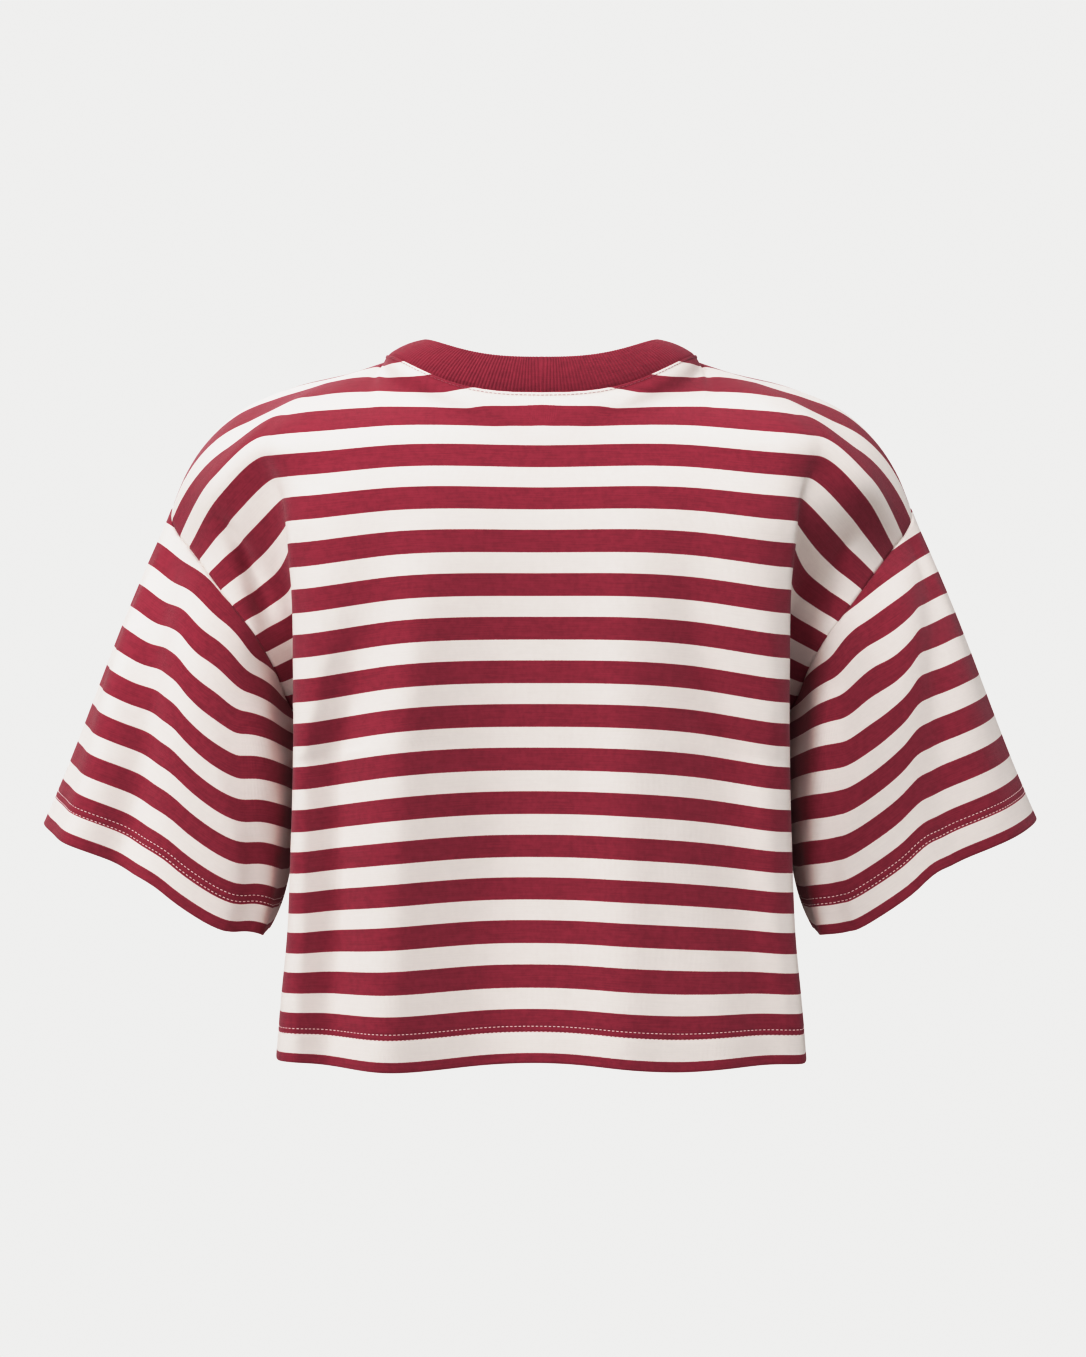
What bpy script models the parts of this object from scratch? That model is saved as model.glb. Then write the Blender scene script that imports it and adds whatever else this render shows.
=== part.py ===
"""A boxy cropped T-shirt with short wide sleeves and a ribbed crew neck, filled out as if worn.

Each piece that is cut and sewn is its own closed wall of cloth: back, front, two sleeves and the neck band.
The front faces -Y and the wearer's left is +X. The origin is the middle of the neck, level with its sides.
The sizes below are in millimetres, and the meshes are made in metres.

A panel of the body is worked out on its flat pattern. A level is a height above the hem along the cloth.
A row runs at one level from the middle of the panel to its edge, through six guide points: the middle, the
blade, the turn, the crest and the valley of the armpit fold, and the edge. Above the last of these rows,
columns of cloth run up and over to the neckline and the shoulder seam.
"""

import bpy
import numpy as np

MM = 0.001

CLOTH = 1.4  # thickness of the wall
HEM_CLOTH = 2.5  # thickness where the hem is turned up
HEM_DEPTH = 24.0
HEM_STEP = 1.6  # height of the step at the top of the hem
SEAM_GAP = 0.36  # between two pieces that are sewn together
UNDERARM_EASE = 0.7  # more room at the underarm, where the seam folds sharply
UNDERARM_EASE_REACH = 0.06  # in turns of the armhole
UNDERARM_OUT = (0.0, 0.0, -1.0)  # the way out of the cloth at the fold of the underarm
CUT_WIDTH = 244.0  # half the width of the body's pattern below the arms
SHOULDER_WIDTH = 266.0  # half its width at the shoulder tip
UNDERARM = 207.0  # level of the underarm point

NECK_HALF_WIDTH = 99.0
NECK_BACK = 75.0  # depth of the neckline behind the origin
NECK_FRONT = 82.0
NECK_SQUARENESS = 2.8  # 2 is an ellipse, more is squarer
NECK_SIDE_HEIGHT = 4.0
NECK_TURN = 94.0  # degrees from the middle of the back to the shoulder seam
NECK_FALL_BACK = 3.6  # how sharply the loop falls from its sides to the middle of the back
NECK_FALL_FRONT = 1.5
SHOULDER_TIP = (239.0, -19.0, -94.0)

BAND_HALF_WIDTH = 75.5  # the neck band's upper edge
BAND_BACK = 67.0
BAND_FRONT = 67.0
BAND_SIDE_HEIGHT = 12.0
BAND_BACK_HEIGHT = -2.5
BAND_FRONT_HEIGHT = -69.0
BAND_BULGE = 1.6
BAND_CLOTH = 1.8  # thickness from the middle of the ribs to the plain inside
RIB_COUNT = 288
RIB_HEIGHT = 0.55

SLEEVE_HEM_CENTRE = (246.2, 0.0, -332.3)
SLEEVE_HEM_SLOPE = 27.5  # degrees that the hem rises towards the outside
SLEEVE_HEM_HALF_WIDTH = 81.5
SLEEVE_HEM_HALF_DEPTH = 60.0
SLEEVE_HEM_SQUARENESS = 0.92  # 1 is an ellipse, less is squarer

BLADE_X = 90.0  # half the distance between the blades, where a panel stands out furthest
TURN_SHARE = (0.24, 0.74, 0.20)  # where the turn lies between the crest and the blade, in x, y and z

BACK_FACE = (
    # level, middle_y, middle_z, blade_y, blade_z, crest_x, crest_y, crest_z
    (0, 103, -443.0, 108, -447.5, 168.0, 60, -442.0),
    (35, 102, -409.0, 108, -414.0, 165.0, 61, -413.0),
    (90, 101, -355.0, 107, -359.5, 160.0, 62, -363.5),
    (146, 101, -302.0, 107, -306.0, 156.5, 62, -313.0),
    (202, 102, -248.0, 106, -251.5, 155.0, 62, -260.0),
    (258, 103, -194.0, 106, -197.0, 155.0, 62, -205.0),
    (314, 102, -140.0, 104, -142.0, 156.5, 62, -149.0),
    (342, 100, -113.0, 101, -114.0, 158.5, 62, -120.5),
    (370, 95, -86.5, 96, -86.5, 163.0, 64, -93.0),
    (398, 88, -60.0, 86, -59.5, 175.0, 66, -66.0),
)

FRONT_FACE = (
    # level, middle_y, middle_z, blade_y, blade_z, crest_x, crest_y, crest_z
    (0, -110, -446.0, -114, -447.0, 167.0, -64, -442.0),
    (90, -112, -358.0, -116, -359.0, 160.0, -65, -361.0),
    (160, -117, -291.0, -121, -292.0, 156.5, -66, -297.0),
    (230, -121, -223.0, -124, -224.0, 155.5, -68, -230.0),
    (290, -114, -165.0, -117, -166.0, 157.0, -68, -172.0),
    (330, -103, -127.0, -107, -127.0, 161.0, -68, -133.0),
)

BACK_VALLEY = (
    # level, x, y, z
    (0, 166.0, 30, -441.0),
    (70, 157.0, 30, -378.0),
    (140, 150.5, 29, -317.0),
    (UNDERARM, 150.0, 22, -252.0),
    (230, 149.5, 12, -232.0),
    (258, 148.0, 16, -212.0),
    (286, 149.5, 24, -188.0),
    (314, 154.5, 30, -162.0),
    (342, 167.0, 35, -138.0),
    (370, 184.0, 44, -113.0),
    (398, 203.0, 48, -90.0),
)
FRONT_VALLEY = (
    # level, x, y, z
    (0, 166.0, -32, -441.0),
    (70, 157.0, -33, -378.0),
    (140, 150.5, -34, -317.0),
    (UNDERARM, 149.5, -34, -250.0),
    (240, 150.0, -31, -224.0),
    (270, 152.0, -36, -197.0),
    (300, 159.0, -42, -168.0),
    (330, 173.0, -49, -141.0),
)

# The shoulder seam between the side of the neck and the shoulder tip, and how far along each point lies.
SHOULDER_SEAM = (
    # share, x, y, z
    (0.00, 99.0, -5, 3.5),
    (0.12, 118.0, -7, -5.0),
    (0.36, 160.0, -10, -16.0),
    (0.56, 193.5, -12, -31.0),
    (0.72, 215.0, -14, -50.5),
    (0.86, 229.0, -16, -71.0),
    (1.00,) + SHOULDER_TIP,
)

# Where the panels end: the side seam that they share, and the two sides of the armhole.
SIDE_SEAM = (
    # level, x, y, z
    (0, 161.0, 0, -440.5),
    (70, 154.5, -2, -375.0),
    (140, 147.0, -4, -309.0),
    (UNDERARM, 152.0, -8, -246.0),
)
BACK_ARMHOLE = (
    # level, x, y, z
    (UNDERARM, 152.0, -8, -246.0),
    (230, 156.0, 3, -233.0),
    (258, 163.0, 21, -216.5),
    (286, 169.0, 40, -198.0),
    (314, 180.0, 51, -178.0),
    (342, 195.0, 48, -159.0),
    (370, 211.0, 37, -138.5),
    (398, 225.0, 18, -121.5),
    (412, 232.0, 8, -114.0),
    (428, 238.5, -3, -103.0),
    (449,) + SHOULDER_TIP,
)
FRONT_ARMHOLE = (
    # level, x, y, z
    (UNDERARM, 152.0, -8, -246.0),
    (240, 159.0, -24, -225.0),
    (270, 167.0, -44, -203.0),
    (300, 180.0, -57, -178.0),
    (330, 196.0, -58, -153.0),
    (370, 216.0, -50, -124.0),
    (405, 229.0, -37, -105.0),
    (436,) + SHOULDER_TIP,
)

# The direction in which the cloth reaches the neckline (columns 0 to 1) and the shoulder seam (1 to 2).
BACK_ARRIVE = (
    # column, x, y, z
    (0.0, 0.00, -0.42, 0.91),
    (0.5, -0.20, -0.70, 0.69),
    (1.0, -0.52, -0.84, 0.16),
    (1.3, -0.20, -0.97, 0.03),
    (2.0, -0.05, -0.90, -0.10),
)
FRONT_ARRIVE = (
    # column, x, y, z
    (0.0, 0.00, 0.62, 0.78),
    (0.5, -0.42, 0.58, 0.70),
    (1.0, -0.66, 0.64, 0.40),
    (1.3, -0.24, 0.88, 0.42),
    (2.0, 0.02, 0.82, 0.42),
)

# Soft folds across the face of a panel. Places are distances from the middle along the cloth.
BACK_FOLDS = (
    # upper_level, upper_place, lower_level, lower_place, half_width, height
    (350, 92, -20, 116, 11, 3.0),
    (340, 134, 60, 136, 15, -3.5),
    (370, 57, 10, 62, 26, -3.0),
    (365, -48, 20, -27, 24, 3.0),
    (350, -76, 10, -124, 17, -3.5),
    (300, -118, -10, -146, 13, 2.5),
)
FRONT_FOLDS = (
    # upper_level, upper_place, lower_level, lower_place, half_width, height
    (300, 112, -10, 92, 16, 3.5),
    (270, 66, 30, 58, 20, -3.0),
    (290, -30, -20, -46, 22, 3.0),
    (300, -84, 10, -96, 18, -3.5),
    (260, -126, -10, -118, 14, 3.0),
)
HEM_DIPS = (
    # place, half_width, drop
    (97, 34, 3.0),
    (-79, 34, 3.5),
    (-158, 30, 2.5),
)
HEM_DIP_REACH = 120.0
FOLD_FADE = 40.0  # the folds fade out between twice this depth and this depth
FOLD_START = 2.2  # how quickly a fold grows from its upper end

# Folds of a sleeve, from the armhole to the hem. A turn runs from the shoulder (0) round the back (0.25) to
# the underarm (0.5). The two sleeves hang a little differently.
LEFT_SLEEVE_FOLDS = (
    # upper_turn, lower_turn, half_width, height
    (0.09, 0.10, 0.030, -4.5),
    (0.19, 0.18, 0.040, 4.0),
    (0.36, 0.30, 0.035, -4.0),
    (0.66, 0.74, 0.040, 4.0),
    (0.80, 0.86, 0.035, -4.0),
)
RIGHT_SLEEVE_FOLDS = (
    # upper_turn, lower_turn, half_width, height
    (0.06, 0.07, 0.035, -3.5),
    (0.17, 0.16, 0.045, 4.0),
    (0.33, 0.28, 0.035, -3.5),
    (0.70, 0.76, 0.040, 4.0),
    (0.84, 0.90, 0.035, -3.5),
)

SLEEVE_FOLD_FULL = 0.62  # share of the way down at which a fold has its full height

# Sags of a sleeve's hem.
LEFT_HEM_SAGS = (
    # turn, half_width, drop
    (0.33, 0.07, 8.0),
    (0.13, 0.06, 5.0),
    (0.68, 0.08, 4.0),
)
RIGHT_HEM_SAGS = (
    # turn, half_width, drop
    (0.34, 0.07, 6.5),
    (0.15, 0.07, -3.0),
    (0.72, 0.09, 5.0),
)

# The way the sleeve's cloth leaves the armhole and the way it reaches the hem.
SLEEVE_WAYS = (
    # turn, leave_x, leave_y, leave_z, reach_x, reach_y, reach_z
    (0.00, 0.37, 0.05, -0.92, 0.42, 0.0, -0.91),
    (0.15, 0.62, 0.35, -0.70, 0.36, 0.0, -0.93),
    (0.30, 0.62, 0.20, -0.75, 0.34, 0.0, -0.93),
    (0.42, 0.38, 0.02, -0.93, 0.42, 0.0, -0.90),
    (0.50, 0.22, 0.00, -0.98, 0.52, 0.0, -0.86),
    (0.58, 0.38, -0.05, -0.93, 0.42, 0.0, -0.90),
    (0.70, 0.62, -0.25, -0.72, 0.34, 0.0, -0.93),
    (0.86, 0.60, -0.35, -0.70, 0.36, 0.0, -0.93),
    (1.00, 0.37, 0.05, -0.92, 0.42, 0.0, -0.91),
)

EDGE_PULL_FROM = 0.45  # share of the half width from which the top follows the armhole's edge
NECK_STEPS = 8  # columns of faces from the middle of a panel to the side of the neck
SHOULDER_STEPS = 15  # and from there to the edge
HEM_LEVELS = (0.0, HEM_DEPTH, HEM_DEPTH + HEM_STEP)
LOWER_LEVELS = (52, 82, 112, 144, 176)
BACK_ARM_LEVELS = (UNDERARM, 226, 245, 264, 283, 302, 322, 342, 360, 379)
FRONT_ARM_LEVELS = (UNDERARM, 224, 241, 258, 276, 294, 312)
BACK_TOP_STEPS = 4
FRONT_TOP_STEPS = 7
SLEEVE_SHARES = (0.0, 0.07, 0.17, 0.29, 0.42, 0.55, 0.68, 0.80)
BAND_INNER_RIBS = 3  # ribs to each column of the band's plain inside

RED = (0.262, 0.022, 0.043)
CREAM = (0.86, 0.80, 0.76)
RED_SHARE = 0.52  # of the striped cloth
STRIPED = tuple(RED_SHARE * red + (1 - RED_SHARE) * cream for red, cream in zip(RED, CREAM))
ROUGHNESS = 0.85

PANELS = {
    "back": {
        "face": BACK_FACE,
        "valley": BACK_VALLEY,
        "armhole": BACK_ARMHOLE,
        "folds": BACK_FOLDS,
        "faces": 1.0,
        "neck_middle": (435.0, -26.0),  # level along the cloth, height
        "neck_side_level": 484.0,
        "neck_rise": 1.15,
        "neck_turn": NECK_TURN,
        "tip_level": 449.0,
        "neck_spread": 0.42,
        "arrive": BACK_ARRIVE,
        "arm_levels": BACK_ARM_LEVELS,
        "top_steps": BACK_TOP_STEPS,
    },
    "front": {
        "face": FRONT_FACE,
        "valley": FRONT_VALLEY,
        "armhole": FRONT_ARMHOLE,
        "folds": FRONT_FOLDS,
        "faces": -1.0,
        "neck_middle": (370.0, -90.0),
        "neck_side_level": 470.0,
        "neck_rise": 2.0,
        "neck_turn": 180.0 - NECK_TURN,
        "tip_level": 436.0,
        "neck_spread": 0.52,
        "arrive": FRONT_ARRIVE,
        "arm_levels": FRONT_ARM_LEVELS,
        "top_steps": FRONT_TOP_STEPS,
    },
}


def slopes_at(knots, points):
    """The slope at each knot: that of the parabola through it and its neighbours, or of the end chord."""
    steps = np.diff(knots, axis=-1)[..., None]
    chords = np.diff(points, axis=-2) / steps
    slopes = np.empty_like(points)
    before, after = steps[..., :-1, :], steps[..., 1:, :]
    slopes[..., 1:-1, :] = (after * chords[..., :-1, :] + before * chords[..., 1:, :]) / (before + after)
    slopes[..., 0, :] = chords[..., 0, :]
    slopes[..., -1, :] = chords[..., -1, :]
    return slopes


def hermite(share, start, start_slope, end, end_slope):
    """A cubic from start to end that leaves and arrives with the given slopes, at a share of the way."""
    square, cube = share * share, share * share * share
    return (
        (2 * cube - 3 * square + 1) * start
        + (cube - 2 * square + share) * start_slope
        + (3 * square - 2 * cube) * end
        + (cube - square) * end_slope
    )


def spline(table, at):
    """A smooth curve through the rows of a table, whose first column is the knot."""
    table = np.asarray(table, float)
    knots, points = table[:, 0], table[:, 1:]
    slopes = slopes_at(knots, points)
    piece = np.clip(np.searchsorted(knots, at, side="right") - 1, 0, len(knots) - 2)
    length = (knots[piece + 1] - knots[piece])[..., None]
    share = (np.asarray(at)[..., None] - knots[piece][..., None]) / length
    start_slope, end_slope = slopes[piece] * length, slopes[piece + 1] * length
    return hermite(share, points[piece], start_slope, points[piece + 1], end_slope)


def curves_through(points, share):
    """One smooth curve through each row of points (rows, points, 3), read at shares of its own length from
    the second point on: the first only sets how the curve leaves the second."""
    lengths = np.linalg.norm(np.diff(points, axis=1), axis=2)
    knots = np.concatenate([np.zeros((len(points), 1)), np.cumsum(lengths, axis=1)], axis=1) - lengths[:, :1]
    slopes = slopes_at(knots, points)
    at = share * knots[:, -1:]
    piece = (at[:, :, None] >= knots[:, None, 1:-1]).sum(axis=2)
    piece = np.clip(piece, 1, points.shape[1] - 2)

    def pick(values, which):
        return np.take_along_axis(values, which[:, :, None].repeat(values.shape[2], axis=2), axis=1)

    begin = np.take_along_axis(knots, piece, axis=1)
    length = (np.take_along_axis(knots, piece + 1, axis=1) - begin)[..., None]
    local = (at - begin)[..., None] / length
    start, start_slope = pick(points, piece), pick(slopes, piece) * length
    end, end_slope = pick(points, piece + 1), pick(slopes, piece + 1) * length
    return hermite(local, start, start_slope, end, end_slope)


def signed_power(values, power):
    return np.sign(values) * np.abs(values) ** power


def neck_curve(turn, half_width, back, front, middle_height, side_height, front_height):
    """A loop round the neck. The plan is a superellipse, deeper at the front, and the height falls from the
    sides to the middle of the back and of the front. turn is in degrees, 0 at the middle of the back."""
    angle = np.radians(turn)
    power = 2 / NECK_SQUARENESS
    x = half_width * signed_power(np.sin(angle), power)
    lean = signed_power(np.cos(angle), power)
    y = np.where(lean > 0, back, front) * lean
    low = np.where(lean > 0, middle_height, front_height)
    fall = np.abs(lean) ** np.where(lean > 0, NECK_FALL_BACK, NECK_FALL_FRONT)
    z = side_height + (low - side_height) * fall
    return np.stack([x, y, z], axis=-1)


def neck_seam(turn):
    return neck_curve(
        turn,
        NECK_HALF_WIDTH,
        NECK_BACK,
        NECK_FRONT,
        PANELS["back"]["neck_middle"][1],
        NECK_SIDE_HEIGHT,
        PANELS["front"]["neck_middle"][1],
    )


def edge_width(level):
    """Half the pattern's width at a level: straight below the underarm, then out to the shoulder tip."""
    rise = np.clip((level - UNDERARM) / (PANELS["back"]["tip_level"] - UNDERARM), 0, 1)
    return CUT_WIDTH + (SHOULDER_WIDTH - CUT_WIDTH) * rise**1.5


def edge_points(panel, level):
    """The end of the row at each level: on the side seam, or on the armhole above the underarm."""
    above = spline(panel["armhole"], np.maximum(level, UNDERARM))
    below = spline(SIDE_SEAM, np.minimum(level, UNDERARM))
    return np.where(level[..., None] > UNDERARM, above, below)


def lower_rows(panel, level, share):
    """Points of the rows at these levels, at these shares of the half width."""
    face = spline(panel["face"], level)
    middle = np.stack([0 * level, face[:, 0], face[:, 1]], axis=1)
    blade = np.stack([0 * level + BLADE_X, face[:, 2], face[:, 3]], axis=1)
    crest, valley, edge = face[:, 4:7], spline(panel["valley"], level), edge_points(panel, level)
    turn = crest + (blade - crest) * TURN_SHARE
    guides = np.stack([blade * (-1, 1, 1), middle, blade, turn, crest, valley, edge], axis=1)
    return curves_through(guides, np.broadcast_to(share, (len(level), len(share))))


def panel_columns(panel, columns):
    """The share of the half width of each column: 0 to 1 end in the neckline, 1 to 2 in the shoulder."""
    spread = panel["neck_spread"]
    return np.where(columns <= 1, spread * columns, spread + (1 - spread) * (columns - 1))


def top_boundary(panel, columns):
    """Where each column ends, and at what level: on the neckline up to column 1, then on the shoulder."""
    turn = panel["neck_turn"] * np.clip(columns, 0, 1)
    if panel["faces"] < 0:
        turn = 180.0 - turn
    neck = neck_seam(turn)
    along = np.clip(columns - 1, 0, 1)
    start = neck_seam(np.array([NECK_TURN])) - SHOULDER_SEAM[0][1:]
    seam = spline(SHOULDER_SEAM, along) + start * np.clip(1 - along / SHOULDER_SEAM[1][0], 0, 1)[:, None]
    points = np.where(columns[:, None] > 1, seam, neck)
    low, high = panel["neck_middle"][0], panel["neck_side_level"]
    level = low + (high - low) * np.clip(columns, 0, 1) ** panel["neck_rise"]
    level = np.where(columns > 1, high + (panel["tip_level"] - high) * along, level)
    return points, level


def arrivals(panel, columns):
    """The direction in which each column reaches the top, from the middle, neck side and shoulder tip."""
    ways = spline(panel["arrive"], columns)
    return ways / np.linalg.norm(ways, axis=1, keepdims=True)


def half_panel(panel, columns, levels, shares):
    """Points, and pattern places and levels, of half a panel. levels are those of the lower rows, the last
    of them the row where the top begins, and shares are how far up the top each further row lies."""
    share = panel_columns(panel, columns)
    levels = np.asarray(levels, float)
    last = levels[-1]
    low = lower_rows(panel, levels, share)
    near = lower_rows(panel, np.array([last - 1.0, last]), share)
    leave = near[1] - near[0]
    top, top_level = top_boundary(panel, columns)
    rise = (top_level - last)[:, None]
    arrive = arrivals(panel, columns) * rise
    shares = np.asarray(shares, float)[:, None, None]
    high = hermite(shares, near[1], leave * rise, top, arrive)
    high_level = last + (top_level - last) * shares[:, :, 0]
    # The last column follows the armhole, and takes its neighbours with it.
    edge = edge_points(panel, high_level[:, -1])
    pull = np.clip((share - EDGE_PULL_FROM) / (1 - EDGE_PULL_FROM), 0, 1) ** 2
    high = high + (edge - high[:, -1])[:, None, :] * pull[None, :, None]
    points = np.concatenate([low, high])
    level = np.concatenate([np.repeat(levels[:, None], len(columns), axis=1), high_level])
    place = share * edge_width(level[:, -1:])
    neck = NECK_HALF_WIDTH / SHOULDER_WIDTH
    round_neck = neck * np.sin(np.radians(90 * np.clip(columns, 0, 1)))
    top_share = np.where(columns <= 1, round_neck, neck + (1 - neck) * (columns - 1))
    place[len(levels) :] += shares[:, :, 0] * (top_share - share) * SHOULDER_WIDTH
    return points, place, level


def drape(panel, points, place, level):
    """The soft folds of a panel's face and the dips of its hem."""
    fade = np.clip(np.abs(points[..., 1]) / FOLD_FADE - 1, 0, 1)
    for upper, upper_place, lower, lower_place, half_width, height in panel["folds"]:
        down = (upper - level) / (upper - lower)
        middle = upper_place + (lower_place - upper_place) * down
        grow = np.clip(down * FOLD_START, 0, 1)
        grow = grow * grow * (3 - 2 * grow)
        away = (place - middle) / half_width
        points[..., 1] += panel["faces"] * height * grow * fade * np.exp(-away * away)
    for middle, half_width, drop in HEM_DIPS:
        away = (panel["faces"] * place - middle) / half_width
        points[..., 2] -= drop * np.exp(-away * away) * np.clip(1 - level / HEM_DIP_REACH, 0, 1) * fade
    return points


def panel_grid(name):
    """Outer points of a whole panel from the wearer's right to left, and their levels on the pattern."""
    panel = PANELS[name]
    columns = np.concatenate(
        [np.linspace(0, 1, NECK_STEPS + 1), 1 + np.linspace(0, 1, SHOULDER_STEPS + 1)[1:]]
    )
    levels = HEM_LEVELS + LOWER_LEVELS + panel["arm_levels"] + (panel["face"][-1][0],)
    shares = np.linspace(0, 1, panel["top_steps"] + 1)[1:]
    points, place, level = half_panel(panel, columns, levels, shares)
    points = np.concatenate([points[:, :0:-1] * (-1, 1, 1), points], axis=1)
    place = np.concatenate([-place[:, :0:-1], place], axis=1)
    level = np.concatenate([level[:, :0:-1], level], axis=1)
    return drape(panel, points, place, level), level


def normals_of(grid, closed=False):
    """Unit normals of a grid of points, rows by columns; closed says that the columns run round a tube."""
    along = np.gradient(grid, axis=0)
    if closed:
        across = (np.roll(grid, -1, axis=1) - np.roll(grid, 1, axis=1)) / 2
    else:
        across = np.gradient(grid, axis=1)
    normal = np.cross(across, along)
    return normal / np.linalg.norm(normal, axis=-1, keepdims=True)


def unit(vectors):
    return vectors / np.linalg.norm(vectors, axis=-1, keepdims=True)


def pulled_in(grid, inner, rows=(), columns=(), by=SEAM_GAP / 2):
    """Both skins with the named edge rows and columns drawn back towards their neighbours."""
    outer, inner = grid.copy(), inner.copy()
    for edge, beside in rows:
        way = unit(grid[beside] - grid[edge]) * by
        outer[edge] += way
        inner[edge] += way
    for edge, beside in columns:
        way = unit(grid[:, beside] - grid[:, edge]) * by
        outer[:, edge] += way
        inner[:, edge] += way
    return outer, inner


def wall_faces(rows, columns, closed):
    """Triangles of a wall: the outer skin, the inner skin turned round, and the rims that join them. Both
    skins are split along the same diagonals, so they never cross. The other half's lean the other way."""
    count = rows * columns
    index = np.arange(count).reshape(rows, columns)
    if closed:
        index = np.concatenate([index, index[:, :1]], axis=1)
    a, b, c, d = index[:-1, :-1], index[:-1, 1:], index[1:, 1:], index[1:, :-1]
    leans = np.broadcast_to(np.arange(a.shape[1]) * 2 < a.shape[1], a.shape)
    first = np.where(leans, (a, b, c), (a, b, d))
    second = np.where(leans, (a, c, d), (b, c, d))
    outer = np.concatenate([half.reshape(3, -1).T for half in (first, second)])
    inner = outer[:, ::-1] + count

    def rim(line):
        near, far = line[1:], line[:-1]
        one = np.stack([near, far, far + count], axis=1)
        other = np.stack([near, far + count, near + count], axis=1)
        return np.concatenate([one, other])

    rims = [rim(index[0]), rim(index[-1][::-1])]
    if not closed:
        rims += [rim(index[::-1, 0]), rim(index[:, -1])]
    return np.concatenate([outer, inner] + rims)


def fabric(name, colour):
    made = bpy.data.materials.new(name)
    made.use_nodes = True
    shader = made.node_tree.nodes["Principled BSDF"]
    shader.inputs["Base Color"].default_value = (*colour, 1)
    shader.inputs["Roughness"].default_value = ROUGHNESS
    shader.inputs["Metallic"].default_value = 0.0
    made.diffuse_color = (*colour, 1)
    return made


def facing_out(points, faces):
    """The faces of a closed wall, all turned round if they point inwards."""
    volume = 0.0
    for face in faces:
        first = points[face[0]]
        for second, third in zip(face[1:-1], face[2:]):
            volume += np.dot(first, np.cross(points[second], points[third]))
    turn = 1 if volume > 0 else -1
    return [[int(corner) for corner in face][::turn] for face in faces]


def add_object(name, points, faces, material, collection):
    mesh = bpy.data.meshes.new(name)
    mesh.from_pydata((points * MM).tolist(), [], facing_out(points, faces))
    mesh.update()
    mesh.shade_smooth()
    mesh.set_sharp_from_angle(angle=np.radians(50))
    mesh.materials.append(material)
    made = bpy.data.objects.new(name, mesh)
    collection.objects.link(made)
    return made


def cloth_thickness(level):
    return np.where(level <= HEM_DEPTH, HEM_CLOTH, CLOTH)[..., None]


def armhole_loop(grids, sign):
    """The armhole of one side, from the shoulder tip down the back and up the front."""
    column = -1 if sign > 0 else 0
    first = len(HEM_LEVELS) + len(LOWER_LEVELS)
    back, front = grids["back"][0][first:, column], grids["front"][0][first:, column]
    return np.concatenate([back[::-1], front[1:-1]])


def sleeve_hem(turn, sags):
    """The loop of the sleeve's hem: a slanted oval with a few sags. turn is 0 outside and 0.25 behind."""
    angle = 2 * np.pi * turn
    slope = np.radians(SLEEVE_HEM_SLOPE)
    across = np.array([np.cos(slope), 0, np.sin(slope)])
    down = np.array([np.sin(slope), 0, -np.cos(slope)])
    x = SLEEVE_HEM_HALF_WIDTH * signed_power(np.cos(angle), SLEEVE_HEM_SQUARENESS)
    y = SLEEVE_HEM_HALF_DEPTH * signed_power(np.sin(angle), SLEEVE_HEM_SQUARENESS)
    sag = sum(drop * np.exp(-(((turn - middle) / width) ** 2)) for middle, width, drop in sags)
    return np.array(SLEEVE_HEM_CENTRE) + np.outer(x, across) + np.outer(y, (0, 1, 0)) + np.outer(sag, down)


def turns_of(loop):
    """How far round each point of the armhole lies, with the shoulder tip at 0 and the underarm at 0.5."""
    half = len(BACK_ARM_LEVELS) + BACK_TOP_STEPS
    steps = np.linalg.norm(np.roll(loop, -1, axis=0) - loop, axis=1)
    back = np.cumsum(steps[:half]) / steps[:half].sum() * 0.5
    front = 0.5 + np.cumsum(steps[half:]) / steps[half:].sum() * 0.5
    return np.concatenate([[0.0], back, front[:-1]])


def sleeve_grid(loop, hem, turns, shares, folds):
    """Outer points of a sleeve on the wearer's left, from the armhole down to the hem."""
    ways = spline(SLEEVE_WAYS, turns)
    length = np.linalg.norm(hem - loop, axis=1)[:, None]
    down = np.asarray(shares, float)[:, None, None]
    points = hermite(down, loop, unit(ways[:, :3]) * length, hem, unit(ways[:, 3:]) * length)
    middle = points.mean(axis=1, keepdims=True)
    outward = unit((points - middle) * (1, 1, 0.3))
    for upper, lower, half_width, height in folds:
        centre = upper + (lower - upper) * down[:, :, 0]
        away = (turns - centre + 0.5) % 1 - 0.5
        grow = np.sin(np.pi / 2 * np.clip(down[:, :, 0] / SLEEVE_FOLD_FULL, 0, 1))
        points = points + outward * (height * grow * np.exp(-((away / half_width) ** 2)))[:, :, None]
    return points


def sleeve_shares(loop, hem):
    """How far down the sleeve each row lies: the last three are the two of the hem's step, and its edge."""
    usual = np.linalg.norm(hem - loop, axis=1).mean()
    return SLEEVE_SHARES + (1 - (HEM_DEPTH + HEM_STEP) / usual, 1 - HEM_DEPTH / usual, 1.0)


def body_panels():
    """The grids of the back and front with their levels, and their normals, which point outwards."""
    grids = {name: panel_grid(name) for name in PANELS}
    normals = {}
    for name, (grid, _) in grids.items():
        normal = normals_of(grid)
        normals[name] = normal * np.sign(normal[..., 1].mean() * PANELS[name]["faces"])
    return grids, normals


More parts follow.
